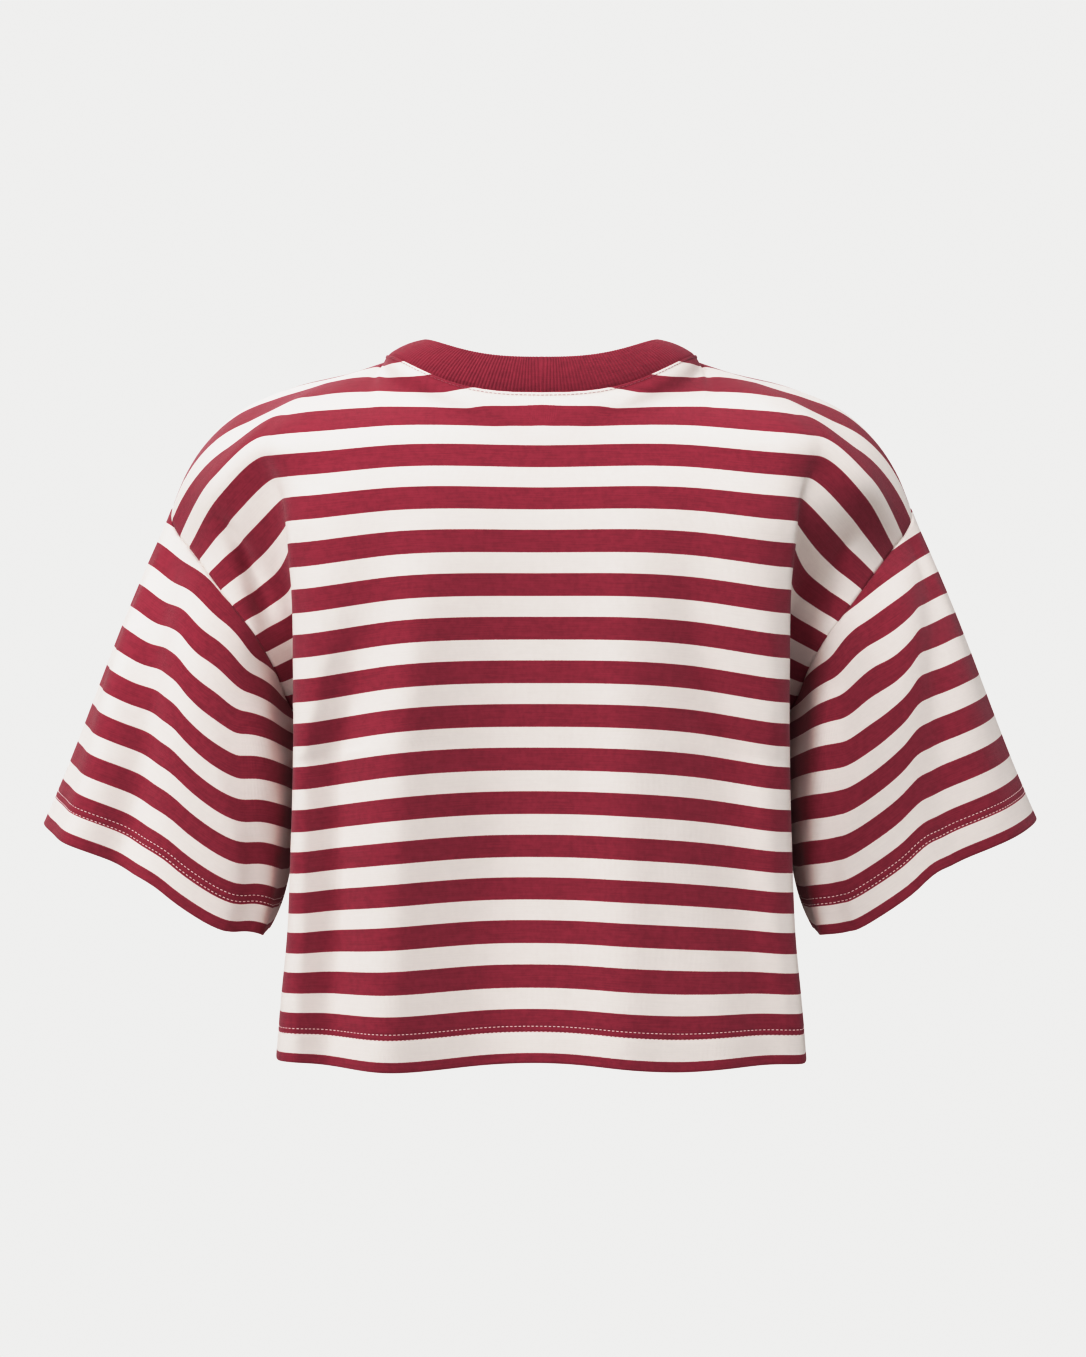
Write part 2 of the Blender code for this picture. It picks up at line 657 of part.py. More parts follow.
def made_sleeves(grids):
    """Each sleeve as if it were the left one: its grid, its normals and how far its top edge is drawn in."""
    sleeves = {}
    for side, sign, folds, sags in (
        ("left", 1.0, LEFT_SLEEVE_FOLDS, LEFT_HEM_SAGS),
        ("right", -1.0, RIGHT_SLEEVE_FOLDS, RIGHT_HEM_SAGS),
    ):
        loop = armhole_loop(grids, sign) * (sign, 1, 1)
        turns = turns_of(loop)
        hem = sleeve_hem(turns, sags)
        grid = sleeve_grid(loop, hem, turns, sleeve_shares(loop, hem), folds)
        normal = normals_of(grid, closed=True)
        normal = normal * np.sign(((grid - grid.mean(axis=(0, 1))) * normal).sum())
        ease = SEAM_GAP / 2 + UNDERARM_EASE * np.exp(-(((turns - 0.5) / UNDERARM_EASE_REACH) ** 2))
        sleeves[side] = [grid, normal, ease[:, None]]
    return sleeves


def share_seam_normals(normals, sleeves):
    """Pieces that meet get one direction for the wall's thickness along their seam, so their edges match."""
    back, front = normals["back"], normals["front"]
    first = len(HEM_LEVELS) + len(LOWER_LEVELS)
    arm_rows = len(back) - first
    for side, sign, column in (("left", 1, -1), ("right", -1, 0)):
        mirror = np.array([sign, 1, 1])
        below = slice(None, first + 1)
        side_seam = unit(back[below, column] + front[below, column])
        arm = sleeves[side][1][0] * mirror
        back_arm = unit(back[first:, column] + arm[:arm_rows][::-1])
        front_arm = unit(front[first:, column] + np.concatenate([arm[arm_rows - 1 :], arm[:1]]))
        side_seam[-1] = back_arm[0] = front_arm[0] = UNDERARM_OUT
        back_arm[-1] = front_arm[-1] = unit(back_arm[-1] + front_arm[-1])
        for panel, panel_arm in ((back, back_arm), (front, front_arm)):
            panel[below, column] = side_seam
            panel[first:, column] = panel_arm
        sleeves[side][1][0] = np.concatenate([back_arm[::-1], front_arm[1:-1]]) * mirror
    neck_side = SHOULDER_STEPS + 2 * NECK_STEPS
    for shoulder in (slice(0, SHOULDER_STEPS + 1), slice(neck_side, None)):
        both = unit(back[-1, shoulder] + front[-1, shoulder])
        back[-1, shoulder] = front[-1, shoulder] = both


def add_panels(grids, normals, collection):
    for name, (grid, level) in grids.items():
        inner = grid - normals[name] * cloth_thickness(level)
        outer, inner = pulled_in(grid, inner, rows=((-1, -2),), columns=((0, 1), (-1, -2)))
        points = np.concatenate([outer.reshape(-1, 3), inner.reshape(-1, 3)])
        faces = wall_faces(*grid.shape[:2], closed=False)
        add_object(name, points, faces, fabric(name + "_knit", STRIPED), collection)


def add_sleeves(sleeves, collection):
    for side, sign in (("left", 1), ("right", -1)):
        grid, normal, ease = sleeves[side]
        name = "sleeve_" + side
        thickness = np.full(len(grid), CLOTH)
        thickness[-2:] = HEM_CLOTH
        inner = grid - normal * thickness[:, None, None]
        outer, inner = pulled_in(grid, inner, rows=((0, 1),), by=ease)
        points = np.concatenate([outer.reshape(-1, 3), inner.reshape(-1, 3)]) * (sign, 1, 1)
        faces = wall_faces(*grid.shape[:2], closed=True)
        add_object(name, points, faces, fabric(name + "_knit", STRIPED), collection)


def build():
    for old in list(bpy.data.objects):
        bpy.data.objects.remove(old, do_unlink=True)
    collection = bpy.data.collections.new("crop_top")
    bpy.context.scene.collection.children.link(collection)
    grids, normals = body_panels()
    sleeves = made_sleeves(grids)
    share_seam_normals(normals, sleeves)
    add_panels(grids, normals, collection)
    add_sleeves(sleeves, collection)
    add_neck_band(grids, normals, fabric("collar_rib", RED), collection)


def neck_polygon(grids, normals):
    """The neckline of both panels as one loop from the middle of the back, and the normals there."""
    middle = NECK_STEPS + SHOULDER_STEPS
    back = slice(middle, middle + NECK_STEPS + 1)
    right = slice(middle - NECK_STEPS, middle + 1)
    lines = []
    for source in ({name: grid for name, (grid, _) in grids.items()}, normals):
        up = source["back"][-1, back]
        over = source["front"][-1, middle - NECK_STEPS : middle + NECK_STEPS + 1][::-1]
        home = source["back"][-1, right]
        lines.append(np.concatenate([up, over[1:], home[1:-1]]))
    return lines


def add_neck_band(grids, normals, material, collection):
    """A ribbed band: its foot follows the neckline, and ribs are raised in its outer points only."""
    foot, foot_normal = neck_polygon(grids, normals)
    neck_turn_back = np.linspace(0, NECK_TURN, NECK_STEPS + 1)
    neck_turn_front = 180 - np.linspace(0, 180 - NECK_TURN, NECK_STEPS + 1)[::-1]
    half = np.concatenate([neck_turn_back, neck_turn_front[1:]])
    turns = np.concatenate([half, 360 - half[-2:0:-1]])
    ends = np.append(turns, 360.0)
    foot = np.concatenate([foot, foot[:1]])
    foot_normal = np.concatenate([foot_normal, foot_normal[:1]])

    def section(turn):
        """The band's foot, bulge and edge at each turn, and the foot's normal."""
        low = np.stack([np.interp(turn, ends, foot[:, i]) for i in range(3)], axis=1)
        normal = unit(np.stack([np.interp(turn, ends, foot_normal[:, i]) for i in range(3)], axis=1))
        heights = (BAND_BACK_HEIGHT, BAND_SIDE_HEIGHT, BAND_FRONT_HEIGHT)
        high = neck_curve(turn, BAND_HALF_WIDTH, BAND_BACK, BAND_FRONT, *heights)
        return low, high, normal

    def skin(turn, depth, ribs):
        low, high, foot_out = section(turn)
        up = unit(high - low)
        ahead, _, _ = section(turn + 0.5)
        along = unit(ahead - low)
        out = unit(np.cross(along, up))
        out = out * np.sign((out * foot_out).sum(axis=1, keepdims=True))
        low = low + up * SEAM_GAP
        middle = (low + high) / 2 + out * BAND_BULGE
        raised = (ribs * RIB_HEIGHT / 2 - depth)[:, None]
        return np.stack([low + foot_out * raised, middle + out * raised, high + out * raised])

    # Equal ribs along the seam: turns are spread by length.
    fine = np.linspace(0, 360, 4 * 360 + 1)
    low, _, _ = section(fine)
    run = np.concatenate([[0], np.cumsum(np.linalg.norm(np.diff(low, axis=0), axis=1))])
    spread = np.interp(np.arange(2 * RIB_COUNT) / (2 * RIB_COUNT) * run[-1], run, fine)
    peaks = np.where(np.arange(2 * RIB_COUNT) % 2, -1.0, 1.0)
    outer = skin(spread, 0.0, peaks)
    every = BAND_INNER_RIBS * 2
    inner = skin(spread[::every], BAND_CLOTH, np.zeros(len(spread[::every])))
    add_object("collar", *band_mesh(outer, inner, every), material, collection)


def band_mesh(outer, inner, every):
    """One closed ring: a fine outer skin, a plain inner skin, and fans that join their edges."""
    rows, fine, _ = outer.shape
    coarse = inner.shape[1]
    points = np.concatenate([outer.reshape(-1, 3), inner.reshape(-1, 3)])
    base = rows * fine
    faces = []
    for row in range(rows - 1):
        for i in range(fine):
            j = (i + 1) % fine
            faces.append((row * fine + i, row * fine + j, (row + 1) * fine + j, (row + 1) * fine + i))
        for i in range(coarse):
            j = (i + 1) % coarse
            here, above = base + row * coarse, base + (row + 1) * coarse
            faces.append((here + j, here + i, above + i, above + j))
    for row, turned in ((0, False), (rows - 1, True)):
        for i in range(fine):
            j = (i + 1) % fine
            near = base + row * coarse + (int((i + every / 2) // every) % coarse)
            faces.append((row * fine + j, row * fine + i, near)[:: -1 if turned else 1])
        for k in range(coarse):
            m = (k + 1) % coarse
            at = row * fine + (k * every + every // 2) % fine
            faces.append((base + row * coarse + k, base + row * coarse + m, at)[:: -1 if turned else 1])
    return points, faces


build()
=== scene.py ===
"""A boxy cropped T-shirt with short wide sleeves and a ribbed crew neck, filled out as if worn.

Each piece of cloth is a thin shell worked out from the flat pattern: a place is a distance from the middle of
a panel along the cloth, and a level is a height above the hem along the cloth. The stripes, the hems and the
rows of stitching follow the same two numbers. Sizes in the tables are millimetres; meshes and settings are
metres. The front faces -Y, the wearer's left is +X, and the origin is the middle of the neck.
"""

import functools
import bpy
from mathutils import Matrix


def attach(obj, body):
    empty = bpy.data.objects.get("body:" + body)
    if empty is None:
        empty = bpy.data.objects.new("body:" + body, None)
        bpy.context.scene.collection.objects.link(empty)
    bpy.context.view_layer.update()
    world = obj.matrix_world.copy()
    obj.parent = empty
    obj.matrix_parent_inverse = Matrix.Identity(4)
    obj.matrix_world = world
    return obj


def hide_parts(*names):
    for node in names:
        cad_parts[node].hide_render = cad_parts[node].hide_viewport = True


bl_info = {
    "name": "Striped crop top",
    "version": (1, 0, 0),
    "blender": (4, 5, 0),
    "location": "View3D > Sidebar > Crop Top",
    "description": "Builds a striped cropped T-shirt with ribbed neck, twin-needle hems and a plain studio",
    "category": "Add Mesh",
}

import bpy
import numpy as np
from bpy.props import FloatProperty, FloatVectorProperty, PointerProperty
from mathutils import Vector

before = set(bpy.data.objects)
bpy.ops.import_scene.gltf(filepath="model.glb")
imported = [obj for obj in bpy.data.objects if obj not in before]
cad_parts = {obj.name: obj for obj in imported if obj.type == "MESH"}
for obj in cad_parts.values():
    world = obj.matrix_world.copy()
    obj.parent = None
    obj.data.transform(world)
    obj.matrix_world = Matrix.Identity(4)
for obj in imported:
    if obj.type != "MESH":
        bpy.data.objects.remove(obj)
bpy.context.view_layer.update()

MM = 0.001
TINY = 1e-12  # keeps a division from failing

JERSEY = 1.0  # thickness of one layer
HEM_DEPTH = 24.0
HEM_LAYERS = 2.1  # thickness where the hem is turned up
HEM_STITCHES = (19.9, 23.5)  # levels of the twin needles
UNDERARM_OUT = (0.0, 0.0, -1.0)  # the way out of the cloth at the fold of the underarm
CUT_WIDTH = 244.0  # half the width of the body's pattern below the arms
SHOULDER_WIDTH = 266.0  # half its width at the shoulder tip
UNDERARM = 207.0  # level of the underarm point
SHOULDER_FLARE = 1.5  # how late the pattern widens on its way up to the shoulder tip

NECK_HALF_WIDTH = 99.0
NECK_BACK = 75.0  # depth of the neckline behind the origin
NECK_FRONT = 82.0
NECK_SQUARENESS = 2.8  # 2 is an ellipse, more is squarer
NECK_SIDE_HEIGHT = 1.5
NECK_TURN = 91.5  # degrees from the middle of the back to the shoulder seam
NECK_FALL_BACK = 3.6  # how sharply the loop falls from its sides to the middle of the back
NECK_FALL_FRONT = 1.5
SHOULDER_TIP = (239.0, -19.0, -94.0)

BAND_HALF_WIDTH = 75.5  # the neck band's upper edge
BAND_BACK = 67.0
BAND_FRONT = 67.0
BAND_SIDE_HEIGHT = 12.0
BAND_BACK_HEIGHT = -2.5
BAND_FRONT_HEIGHT = -69.0
BAND_BULGE = 1.6
RIB_COUNT = 288
RIB_HEIGHT = 0.7

SLEEVE_HEM_CENTRE = (247.9, 0.0, -332.3)
SLEEVE_HEM_SLOPE = 27.5  # degrees that the hem rises towards the outside
SLEEVE_HEM_HALF_WIDTH = 79.6
SLEEVE_HEM_HALF_DEPTH = 64.0
SLEEVE_HEM_SQUARENESS = (0.92, 0.36)  # outside, and beside the body: 1 is an ellipse, less is squarer
SLEEVE_HEM_CHANGE = (0.1, -0.4)  # cosines of the turns between which it passes from one to the other

BLADE_X = 90.0  # half the distance between the blades, where a panel stands out furthest
# The fold beside the armpit: points before, at and after its edge, as shares of the way from the crest to the
# blade, in x, y and z. It is sharp below, and soft at the top.
FOLD_SHARP = ((0.130, 0.78, 0.16), (0.022, 0.60, 0.11), (0.000, 0.44, 0.07), (0.008, 0.20, 0.03))
FOLD_SOFT = ((0.40, 0.86, 0.34), (0.24, 0.74, 0.20), (0.10, 0.44, 0.09), (0.00, 0.00, 0.00))
FOLDS = tuple(zip(FOLD_SOFT, FOLD_SHARP))

BACK_FACE = (
    # level, middle_y, middle_z, blade_y, blade_z, crest_x, crest_y, crest_z
    (0, 103, -443.0, 108, -447.5, 165.5, 60, -441.5),
    (35, 102, -409.0, 108, -412.5, 163.0, 61, -411.0),
    (90, 101, -355.0, 107, -358.5, 158.5, 62, -363.5),
    (146, 101, -302.0, 107, -306.0, 156.5, 62, -314.0),
    (202, 102, -248.0, 106, -251.5, 155.0, 62, -261.5),
    (258, 103, -194.0, 106, -197.0, 155.0, 62, -207.0),
    (314, 102, -140.0, 104, -142.0, 156.5, 62, -151.0),
    (342, 100, -113.0, 101, -114.0, 158.5, 62, -122.0),
    (370, 95, -86.5, 96, -86.5, 163.0, 64, -93.0),
    (398, 88, -60.0, 86, -59.5, 175.0, 66, -66.0),
)

FRONT_FACE = (
    # level, middle_y, middle_z, blade_y, blade_z, crest_x, crest_y, crest_z
    (0, -110, -446.0, -114, -447.0, 167.0, -64, -442.0),
    (90, -112, -358.0, -116, -359.0, 160.0, -65, -361.0),
    (160, -117, -291.0, -121, -292.0, 156.5, -66, -297.0),
    (230, -121, -223.0, -124, -224.0, 155.5, -68, -230.0),
    (290, -114, -165.0, -117, -166.0, 157.0, -68, -172.0),
    (330, -103, -127.0, -107, -127.0, 161.0, -68, -133.0),
)

BACK_VALLEY = (
    # level, x, y, z
    (0, 166.0, 30, -441.0),
    (70, 157.0, 30, -378.0),
    (140, 150.5, 29, -317.0),
    (UNDERARM, 150.0, 22, -252.0),
    (230, 149.5, 14, -232.0),
    (258, 148.5, 24, -212.0),
    (286, 150.5, 36, -188.0),
    (314, 155.5, 42, -162.0),
    (342, 167.0, 46, -138.0),
    (370, 184.0, 50, -113.0),
    (398, 203.0, 50, -90.0),
)
FRONT_VALLEY = (
    # level, x, y, z
    (0, 166.0, -32, -441.0),
    (70, 157.0, -33, -378.0),
    (140, 150.5, -34, -317.0),
    (UNDERARM, 149.5, -34, -250.0),
    (240, 150.0, -31, -224.0),
    (270, 152.0, -36, -197.0),
    (300, 159.0, -42, -168.0),
    (330, 173.0, -49, -141.0),
)

# The shoulder seam between the side of the neck and the shoulder tip, and how far along each point lies.
SHOULDER_SEAM = (
    # share, x, y, z
    (0.00, 99.0, -6, 0.0),
    (0.12, 118.0, -7, -6.5),
    (0.36, 160.0, -10, -17.0),
    (0.56, 193.5, -12, -31.5),
    (0.72, 215.0, -14, -50.5),
    (0.86, 229.0, -16, -71.0),
    (1.00,) + SHOULDER_TIP,
)

# Where the panels end: the side seam that they share, and the two sides of the armhole.
SIDE_SEAM = (
    # level, x, y, z
    (0, 161.0, 0, -440.5),
    (70, 154.5, -2, -375.0),
    (140, 147.0, -4, -309.0),
    (UNDERARM, 152.0, -8, -246.0),
)
BACK_ARMHOLE = (
    # level, x, y, z
    (UNDERARM, 152.0, -8, -246.0),
    (230, 156.0, 3, -233.0),
    (258, 163.0, 21, -216.5),
    (286, 169.0, 40, -198.0),
    (314, 180.0, 51, -178.0),
    (342, 195.0, 48, -159.0),
    (370, 211.0, 37, -138.5),
    (398, 225.0, 18, -121.5),
    (412, 232.0, 8, -114.0),
    (428, 238.5, -3, -103.0),
    (449,) + SHOULDER_TIP,
)
FRONT_ARMHOLE = (
    # level, x, y, z
    (UNDERARM, 152.0, -8, -246.0),
    (240, 159.0, -24, -225.0),
    (270, 167.0, -44, -203.0),
    (300, 180.0, -57, -178.0),
    (330, 196.0, -58, -153.0),
    (370, 216.0, -50, -124.0),
    (405, 229.0, -37, -105.0),
    (436,) + SHOULDER_TIP,
)

# The direction in which the cloth reaches the neckline (columns 0 to 1) and the shoulder seam (1 to 2).
BACK_ARRIVE = (
    # column, x, y, z
    (0.0, 0.00, -0.42, 0.91),
    (0.5, -0.20, -0.70, 0.69),
    (1.0, -0.20, -0.95, 0.18),
    (1.3, -0.14, -0.98, 0.06),
    (2.0, -0.05, -0.90, -0.10),
)
FRONT_ARRIVE = (
    # column, x, y, z
    (0.0, 0.00, 0.62, 0.78),
    (0.5, -0.42, 0.58, 0.70),
    (1.0, -0.36, 0.78, 0.46),
    (1.3, -0.24, 0.88, 0.42),
    (2.0, 0.02, 0.82, 0.42),
)

# Soft folds across the face of a panel. Places are distances from the middle along the cloth.
BACK_FOLDS = (
    # upper_level, upper_place, lower_level, lower_place, half_width, height
    (372, 80, -20, 93, 18, 7.8),
    (356, 116, -20, 130, 15, -10.5),
    (376, 150, -20, 152, 12, 4.0),
    (264, 120, -20, 115, 12, -3.4),
    (264, 146, -20, 139, 11, 2.8),
    (380, 30, -20, 34, 30, -5.2),
    (220, 36, -20, 36, 24, -4.5),
    (374, -54, -20, -46, 20, 6.3),
    (362, -88, 0, -132, 19, -12.0),
    (345, -152, -20, -156, 13, 8.0),
    (250, -152, -20, -156, 13, -9.0),
)
FRONT_FOLDS = (
    # upper_level, upper_place, lower_level, lower_place, half_width, height
    (300, 112, -10, 92, 16, 3.5),
    (270, 66, 30, 58, 20, -3.0),
    (290, -30, -20, -46, 22, 3.0),
    (300, -84, 10, -96, 18, -3.5),
    (260, -126, -10, -118, 14, 3.0),
)
# Where a panel lies further out than its tables say.
BACK_LIFTS = (
    # place, level, half_width, half_height, lift
    (-198, 366, 27, 46, 13.5),
)
HEM_DIPS = (
    # place, half_width, drop
    (97, 34, 0.8),
    (-79, 34, 0.6),
    (-158, 30, 2.5),
    (183, 11, -9.0),
    (-183, 11, -9.0),
)
HEM_DIP_REACH = 120.0
FOLD_FADE = 40.0  # the folds fade out between twice this depth and this depth
FOLD_START = 2.2  # how quickly a fold grows from its upper end

SIDES = {"left": (1, -1), "right": (-1, 0)}  # the sign of x, and the column of a panel's edge

# Folds of a sleeve, at the turns where they reach the hem. A turn runs from the shoulder (0) round the back
# (0.25) to the underarm (0.5). Further up, folds and stripes lean towards the shoulder.
SLEEVE_FOLDS = {
    # turn, half_width, height
    "left": (
        (0.140, 0.036, 7.0), (0.205, 0.034, -8.5), (0.290, 0.042, 4.5),
        (0.405, 0.045, 6.0), (0.740, 0.040, 4.0), (0.860, 0.035, -4.0),
    ),
    "right": (
        (0.140, 0.040, 2.0), (0.212, 0.034, -4.5), (0.290, 0.042, 4.5),
        (0.405, 0.045, 6.0), (0.760, 0.040, 4.0), (0.900, 0.035, -3.5),
    ),
}
SLEEVE_LEAN = {"left": 0.13, "right": 0.20}  # turns that the folds have leaned by at the armhole
LEAN_FALL = 2.5  # how quickly they straighten on the way down
LEAN_START = 0.1  # turns from the shoulder within which they lean less
SLEEVE_FOLD_FULL = 0.62  # share of the way down at which a fold has its full height
SLEEVE_OUTWARD = (1, 1, 0.3)  # the folds stand out from the sleeve's middle line, less so along it

# How far a sleeve's hem sags below its slanted plane, round the hem.
HEM_SAGS = {
    # turn, drop
    "left": (
        (0.00, 2.0), (0.10, 2.6), (0.17, 1.2), (0.23, 0.2), (0.258, 1.0), (0.272, 4.0), (0.288, 6.2),
        (0.325, 4.2), (0.365, -0.4), (0.42, -1.6), (0.46, -1.6), (0.50, -3.0), (0.54, -2.0), (0.60, 1.5),
        (0.68, 4.0), (0.76, -1.0), (0.88, 1.0), (1.00, 2.0),
    ),
    "right": (
        (0.00, -1.4), (0.095, -0.4), (0.172, -2.2), (0.224, -4.0), (0.250, -4.2), (0.268, 0.5),
        (0.294, 4.2), (0.34, 2.6), (0.397, -0.8), (0.44, -1.8), (0.47, -1.8), (0.50, -3.0), (0.54, -1.5),
        (0.62, 2.0), (0.72, 4.5), (0.80, -1.0), (0.90, 0.5), (1.00, -1.4),
    ),
}

# The way the sleeve's cloth leaves the armhole and the way it reaches the hem.
SLEEVE_WAYS = (
    # turn, leave_x, leave_y, leave_z, reach_x, reach_y, reach_z
    (0.00, 0.37, 0.05, -0.92, 0.42, 0.0, -0.91),
    (0.15, 0.62, 0.35, -0.70, 0.36, 0.0, -0.93),
    (0.30, 0.52, 0.40, -0.75, 0.34, 0.0, -0.93),
    (0.37, 0.20, 0.72, -0.68, 0.30, 0.0, -0.95),
    (0.43, 0.02, 0.74, -0.68, 0.32, 0.0, -0.95),
    (0.475, 0.08, 0.42, -0.90, 0.40, 0.0, -0.92),
    (0.50, 0.22, 0.00, -0.98, 0.52, 0.0, -0.86),
    (0.525, 0.24, -0.18, -0.95, 0.48, 0.0, -0.88),
    (0.57, 0.32, -0.42, -0.85, 0.42, 0.0, -0.90),
    (0.63, 0.46, -0.46, -0.76, 0.36, 0.0, -0.93),
    (0.70, 0.56, -0.36, -0.75, 0.34, 0.0, -0.93),
    (0.86, 0.60, -0.35, -0.70, 0.36, 0.0, -0.93),
    (1.00, 0.37, 0.05, -0.92, 0.42, 0.0, -0.91),
)

SHOULDER_BLEND = 0.45  # share of the shoulder seam over which it eases away from the side of the neck
CORNER_EASE = 2.2
EDGE_PULL_FROM = 0.45  # share of the half width from which the top follows the armhole's edge

# The grids of the cloth, as distances from an edge or numbers of steps.
HEM_ROWS = (
    (0.0, 0.12, 0.35, 0.7, 1.1, 2.2, 4.2, 6.6, 9.2, 12.0, 14.6, 16.6, 17.8)
    + (18.7, 19.3, 19.9, 20.5, 21.1, 21.8, 22.4, 22.9, 23.5, 24.1, 24.7, 25.4, 26.6, 28.4)
)
EDGE_STEPS = (7.0, 4.8, 3.0, 1.8, 1.0, 0.45, 0.0)
EDGE_RUN = 130.0  # length of a row between the side of the neck and the edge
NECK_STEPS = 40
SHOULDER_STEPS = 62
BODY_STEPS = 60
UNDERARM_STEPS = (0.5, 1.2, 2.4, 4.4)
SEAM_ROWS = (0.0, 0.45, 1.0, 1.8, 3.0, 5.0)
SLEEVE_STEPS = 56

# Relief of the cloth. A reach is the distance at which a bell has fallen to about a third.
STITCH_GROOVE = 0.28
NEEDLE_REACH = 0.75
PUCKER_REACH = 7.5
SLEEVE_PUCKERS_FROM = 40.0  # so that a sleeve's puckers aren't those of the back
HEM_PUCKERS = (
    # length of a wave over 2 pi, phase, height
    (2.1, 0.4, 0.03),
    (3.7, 1.9, 0.05),
    (7.3, 0.7, 0.05),
)
SEAM_GROOVE = 0.75
SEAM_REACH = 0.8
INSIDE_RELIEF = 0.5  # share of a groove's depth that shows inside
NECK_STITCH = 1.8  # distance of the neck's stitching from the seam
NECK_RIDGE = 0.55  # the cloth turned back under it
NECK_RIDGE_EDGES = (NECK_STITCH + 1.2, NECK_STITCH - 0.4)  # where it starts and where it is full
NECK_GROOVE = 0.25
NECK_GROOVE_REACH = 0.6
ALLOWANCE = 7.0  # width of the seam allowances, overlocked inside
ALLOWANCE_LAYERS = 0.8
LAYER_EDGE = 0.8  # width over which a layer ends
HEM_EASE = 4.0  # height over which the allowances thin out into the hem
CREASE_POWER = 0.8  # how bluntly a small crease ends

BAND_THICK = 2.1
BAND_RISE = (0.0, 0.02, 0.045, 0.08, 0.14, 0.24, 0.36, 0.5, 0.64, 0.78, 0.9, 0.97, 1.0)
BAND_ROUND = 5
BAND_FOOT = 0.7  # how far the foot sinks into the seam
BAND_FOOT_REACH = 1.6
BAND_TURN = 0.25  # share of its height over which the band turns away from the cloth below it
BAND_EDGE_RELIEF = 0.75  # share of the ribs' relief that is left at the folded edge
RIB_COLUMNS = 6
RIB_ROUNDNESS = 0.6  # less is rounder, with narrower valleys
FINE_TURNS = 8  # points to a degree where the neckline is measured
RIB_STRETCH = (
    # degrees from the middle of the back, width, share of the relief lost
    (74.0, 20.0, 0.62),
    (112.0, 16.0, 0.5),
)

STITCH_PITCH = 2.7
STITCH_LENGTH = 2.15
STITCH_RADIUS = 0.24
NECK_STITCH_RADIUS = 0.17
STITCH_RINGS = 5
STITCH_SIDES = 5
STITCH_TAPER = 0.93  # how nearly a stitch closes at its last ring, where 1 is to a point
STITCH_LIFT = 0.75  # in radii, as are the next two
STITCH_DIP = 1.15
STITCH_TIP = 0.4
SLEEVE_STITCHES = (19.9, 23.7)

# The stripes, along the cloth.
STRIPE_START = 19.9
STRIPE_REPEAT = 28.0
RED_WIDTH = 14.6
STRIPE_BLUR = 0.16
SLEEVE_STRIPE_SHIFT = 1.5  # the sleeves' stripes start this much lower
SLEEVE_STRIPE_DRIFT = {
    # height above the hem, and how much lower the stripes lie there: outside, and beside the body
    "left": (
        (0, -3.0, -3.4), (9, -2.2, -1.8), (20, -0.6, 0.6), (48, 2.2, 3.2), (76, 4.2, 5.4), (104, 6.0, 7.4),
        (132, 7.2, 9.6), (160, 7.4, 14.2), (188, 7.2, 22.0), (204, 7.0, 25.0), (250, 6.6, 26.0),
    ),
    "right": (
        (0, -2.4, -2.2), (9, -1.6, -1.4), (20, -0.2, 0.0), (60, 1.2, 1.2), (104, 1.2, 0.8), (132, 1.2, 0.6),
        (160, 0.4, 3.6), (188, 0.0, 6.8), (250, 0.0, 8.0),
    ),
}
DRIFT_BLEND = (0.12, 0.30)  # turns between outside and beside the body
SAG_FADE = 0.42  # share of the way down over which the stripes come to follow the hem
WALE = 0.72  # width of a column of loops
COURSE = 0.58  # height of a row of loops
RIB_COURSE = 0.62
RAGGED = (1.9, 0.2)  # how finely the edge of a stripe wanders, along and up
STRIPE_STRAY = 0.35  # how far it wanders
STREAK = (0.05, 1.3)  # how fine the streaks of the yarn are, along and up
LOOP_LEAN = 0.12  # in columns of loops
KNIT_SHARES = (0.45, 0.2, 0.35)  # of the loops, the rows and the fuzz
KNIT_DEPTH = 0.22
RIB_DEPTH = 0.15
FUZZ_SCALE = 1400.0
MOTTLE_SCALE = 260.0
MOTTLE_RANGE = (0.34, 0.66)
CREAM_SHADE = 0.965  # the yarn's darkest tone, as a share of its colour
RED_SHADE = 0.80
RIB_TONE = 0.92
CLOTH_ROUGHNESS = 0.88
SHEEN = 0.18
SHEEN_ROUGHNESS = 0.5
SPECULAR = 0.28
THREAD_ROUGHNESS = 0.6
THREAD_SHEEN = 0.05

PATTERN_MAP = "cloth"

# Small creases of a panel's left half, and of its right half with places measured to the right.
BACK_CREASES = (
    # from_place, from_level, to_place, to_level, half_width, height
    (224, 394, 242, 304, 6.0, -7.0),
    (176, 330, 196, 226, 6.5, -1.2),
    (150, 372, 172, 318, 7.0, 1.0),
    (168, 250, 196, 216, 5.0, 0.9),
    (176, 232, 214, 210, 5.0, -0.8),
    (120, 452, 168, 404, 8.0, -0.8),
    (132, 300, 150, 190, 6.0, 0.7),
)
BACK_CREASES_RIGHT = (
    (228, 386, 240, 310, 6.0, -3.2),
    (172, 338, 198, 230, 6.5, -1.2),
    (146, 378, 170, 322, 7.0, 0.9),
    (170, 246, 200, 214, 5.0, 0.9),
    (128, 448, 172, 398, 8.0, -0.7),
    (136, 280, 148, 170, 6.0, 0.6),
)
FRONT_CREASES = (
    (170, 320, 200, 224, 7.0, -1.2),
    (140, 352, 176, 290, 7.0, 1.1),
    (172, 244, 204, 214, 5.0, 0.8),
    (104, 430, 156, 372, 9.0, -0.9),
)
FRONT_CREASES_RIGHT = (
    (174, 314, 202, 228, 7.0, -1.1),
    (136, 358, 172, 296, 7.0, 1.0),
    (168, 238, 200, 212, 5.0, 0.9),
    (110, 424, 160, 366, 9.0, -0.8),
)
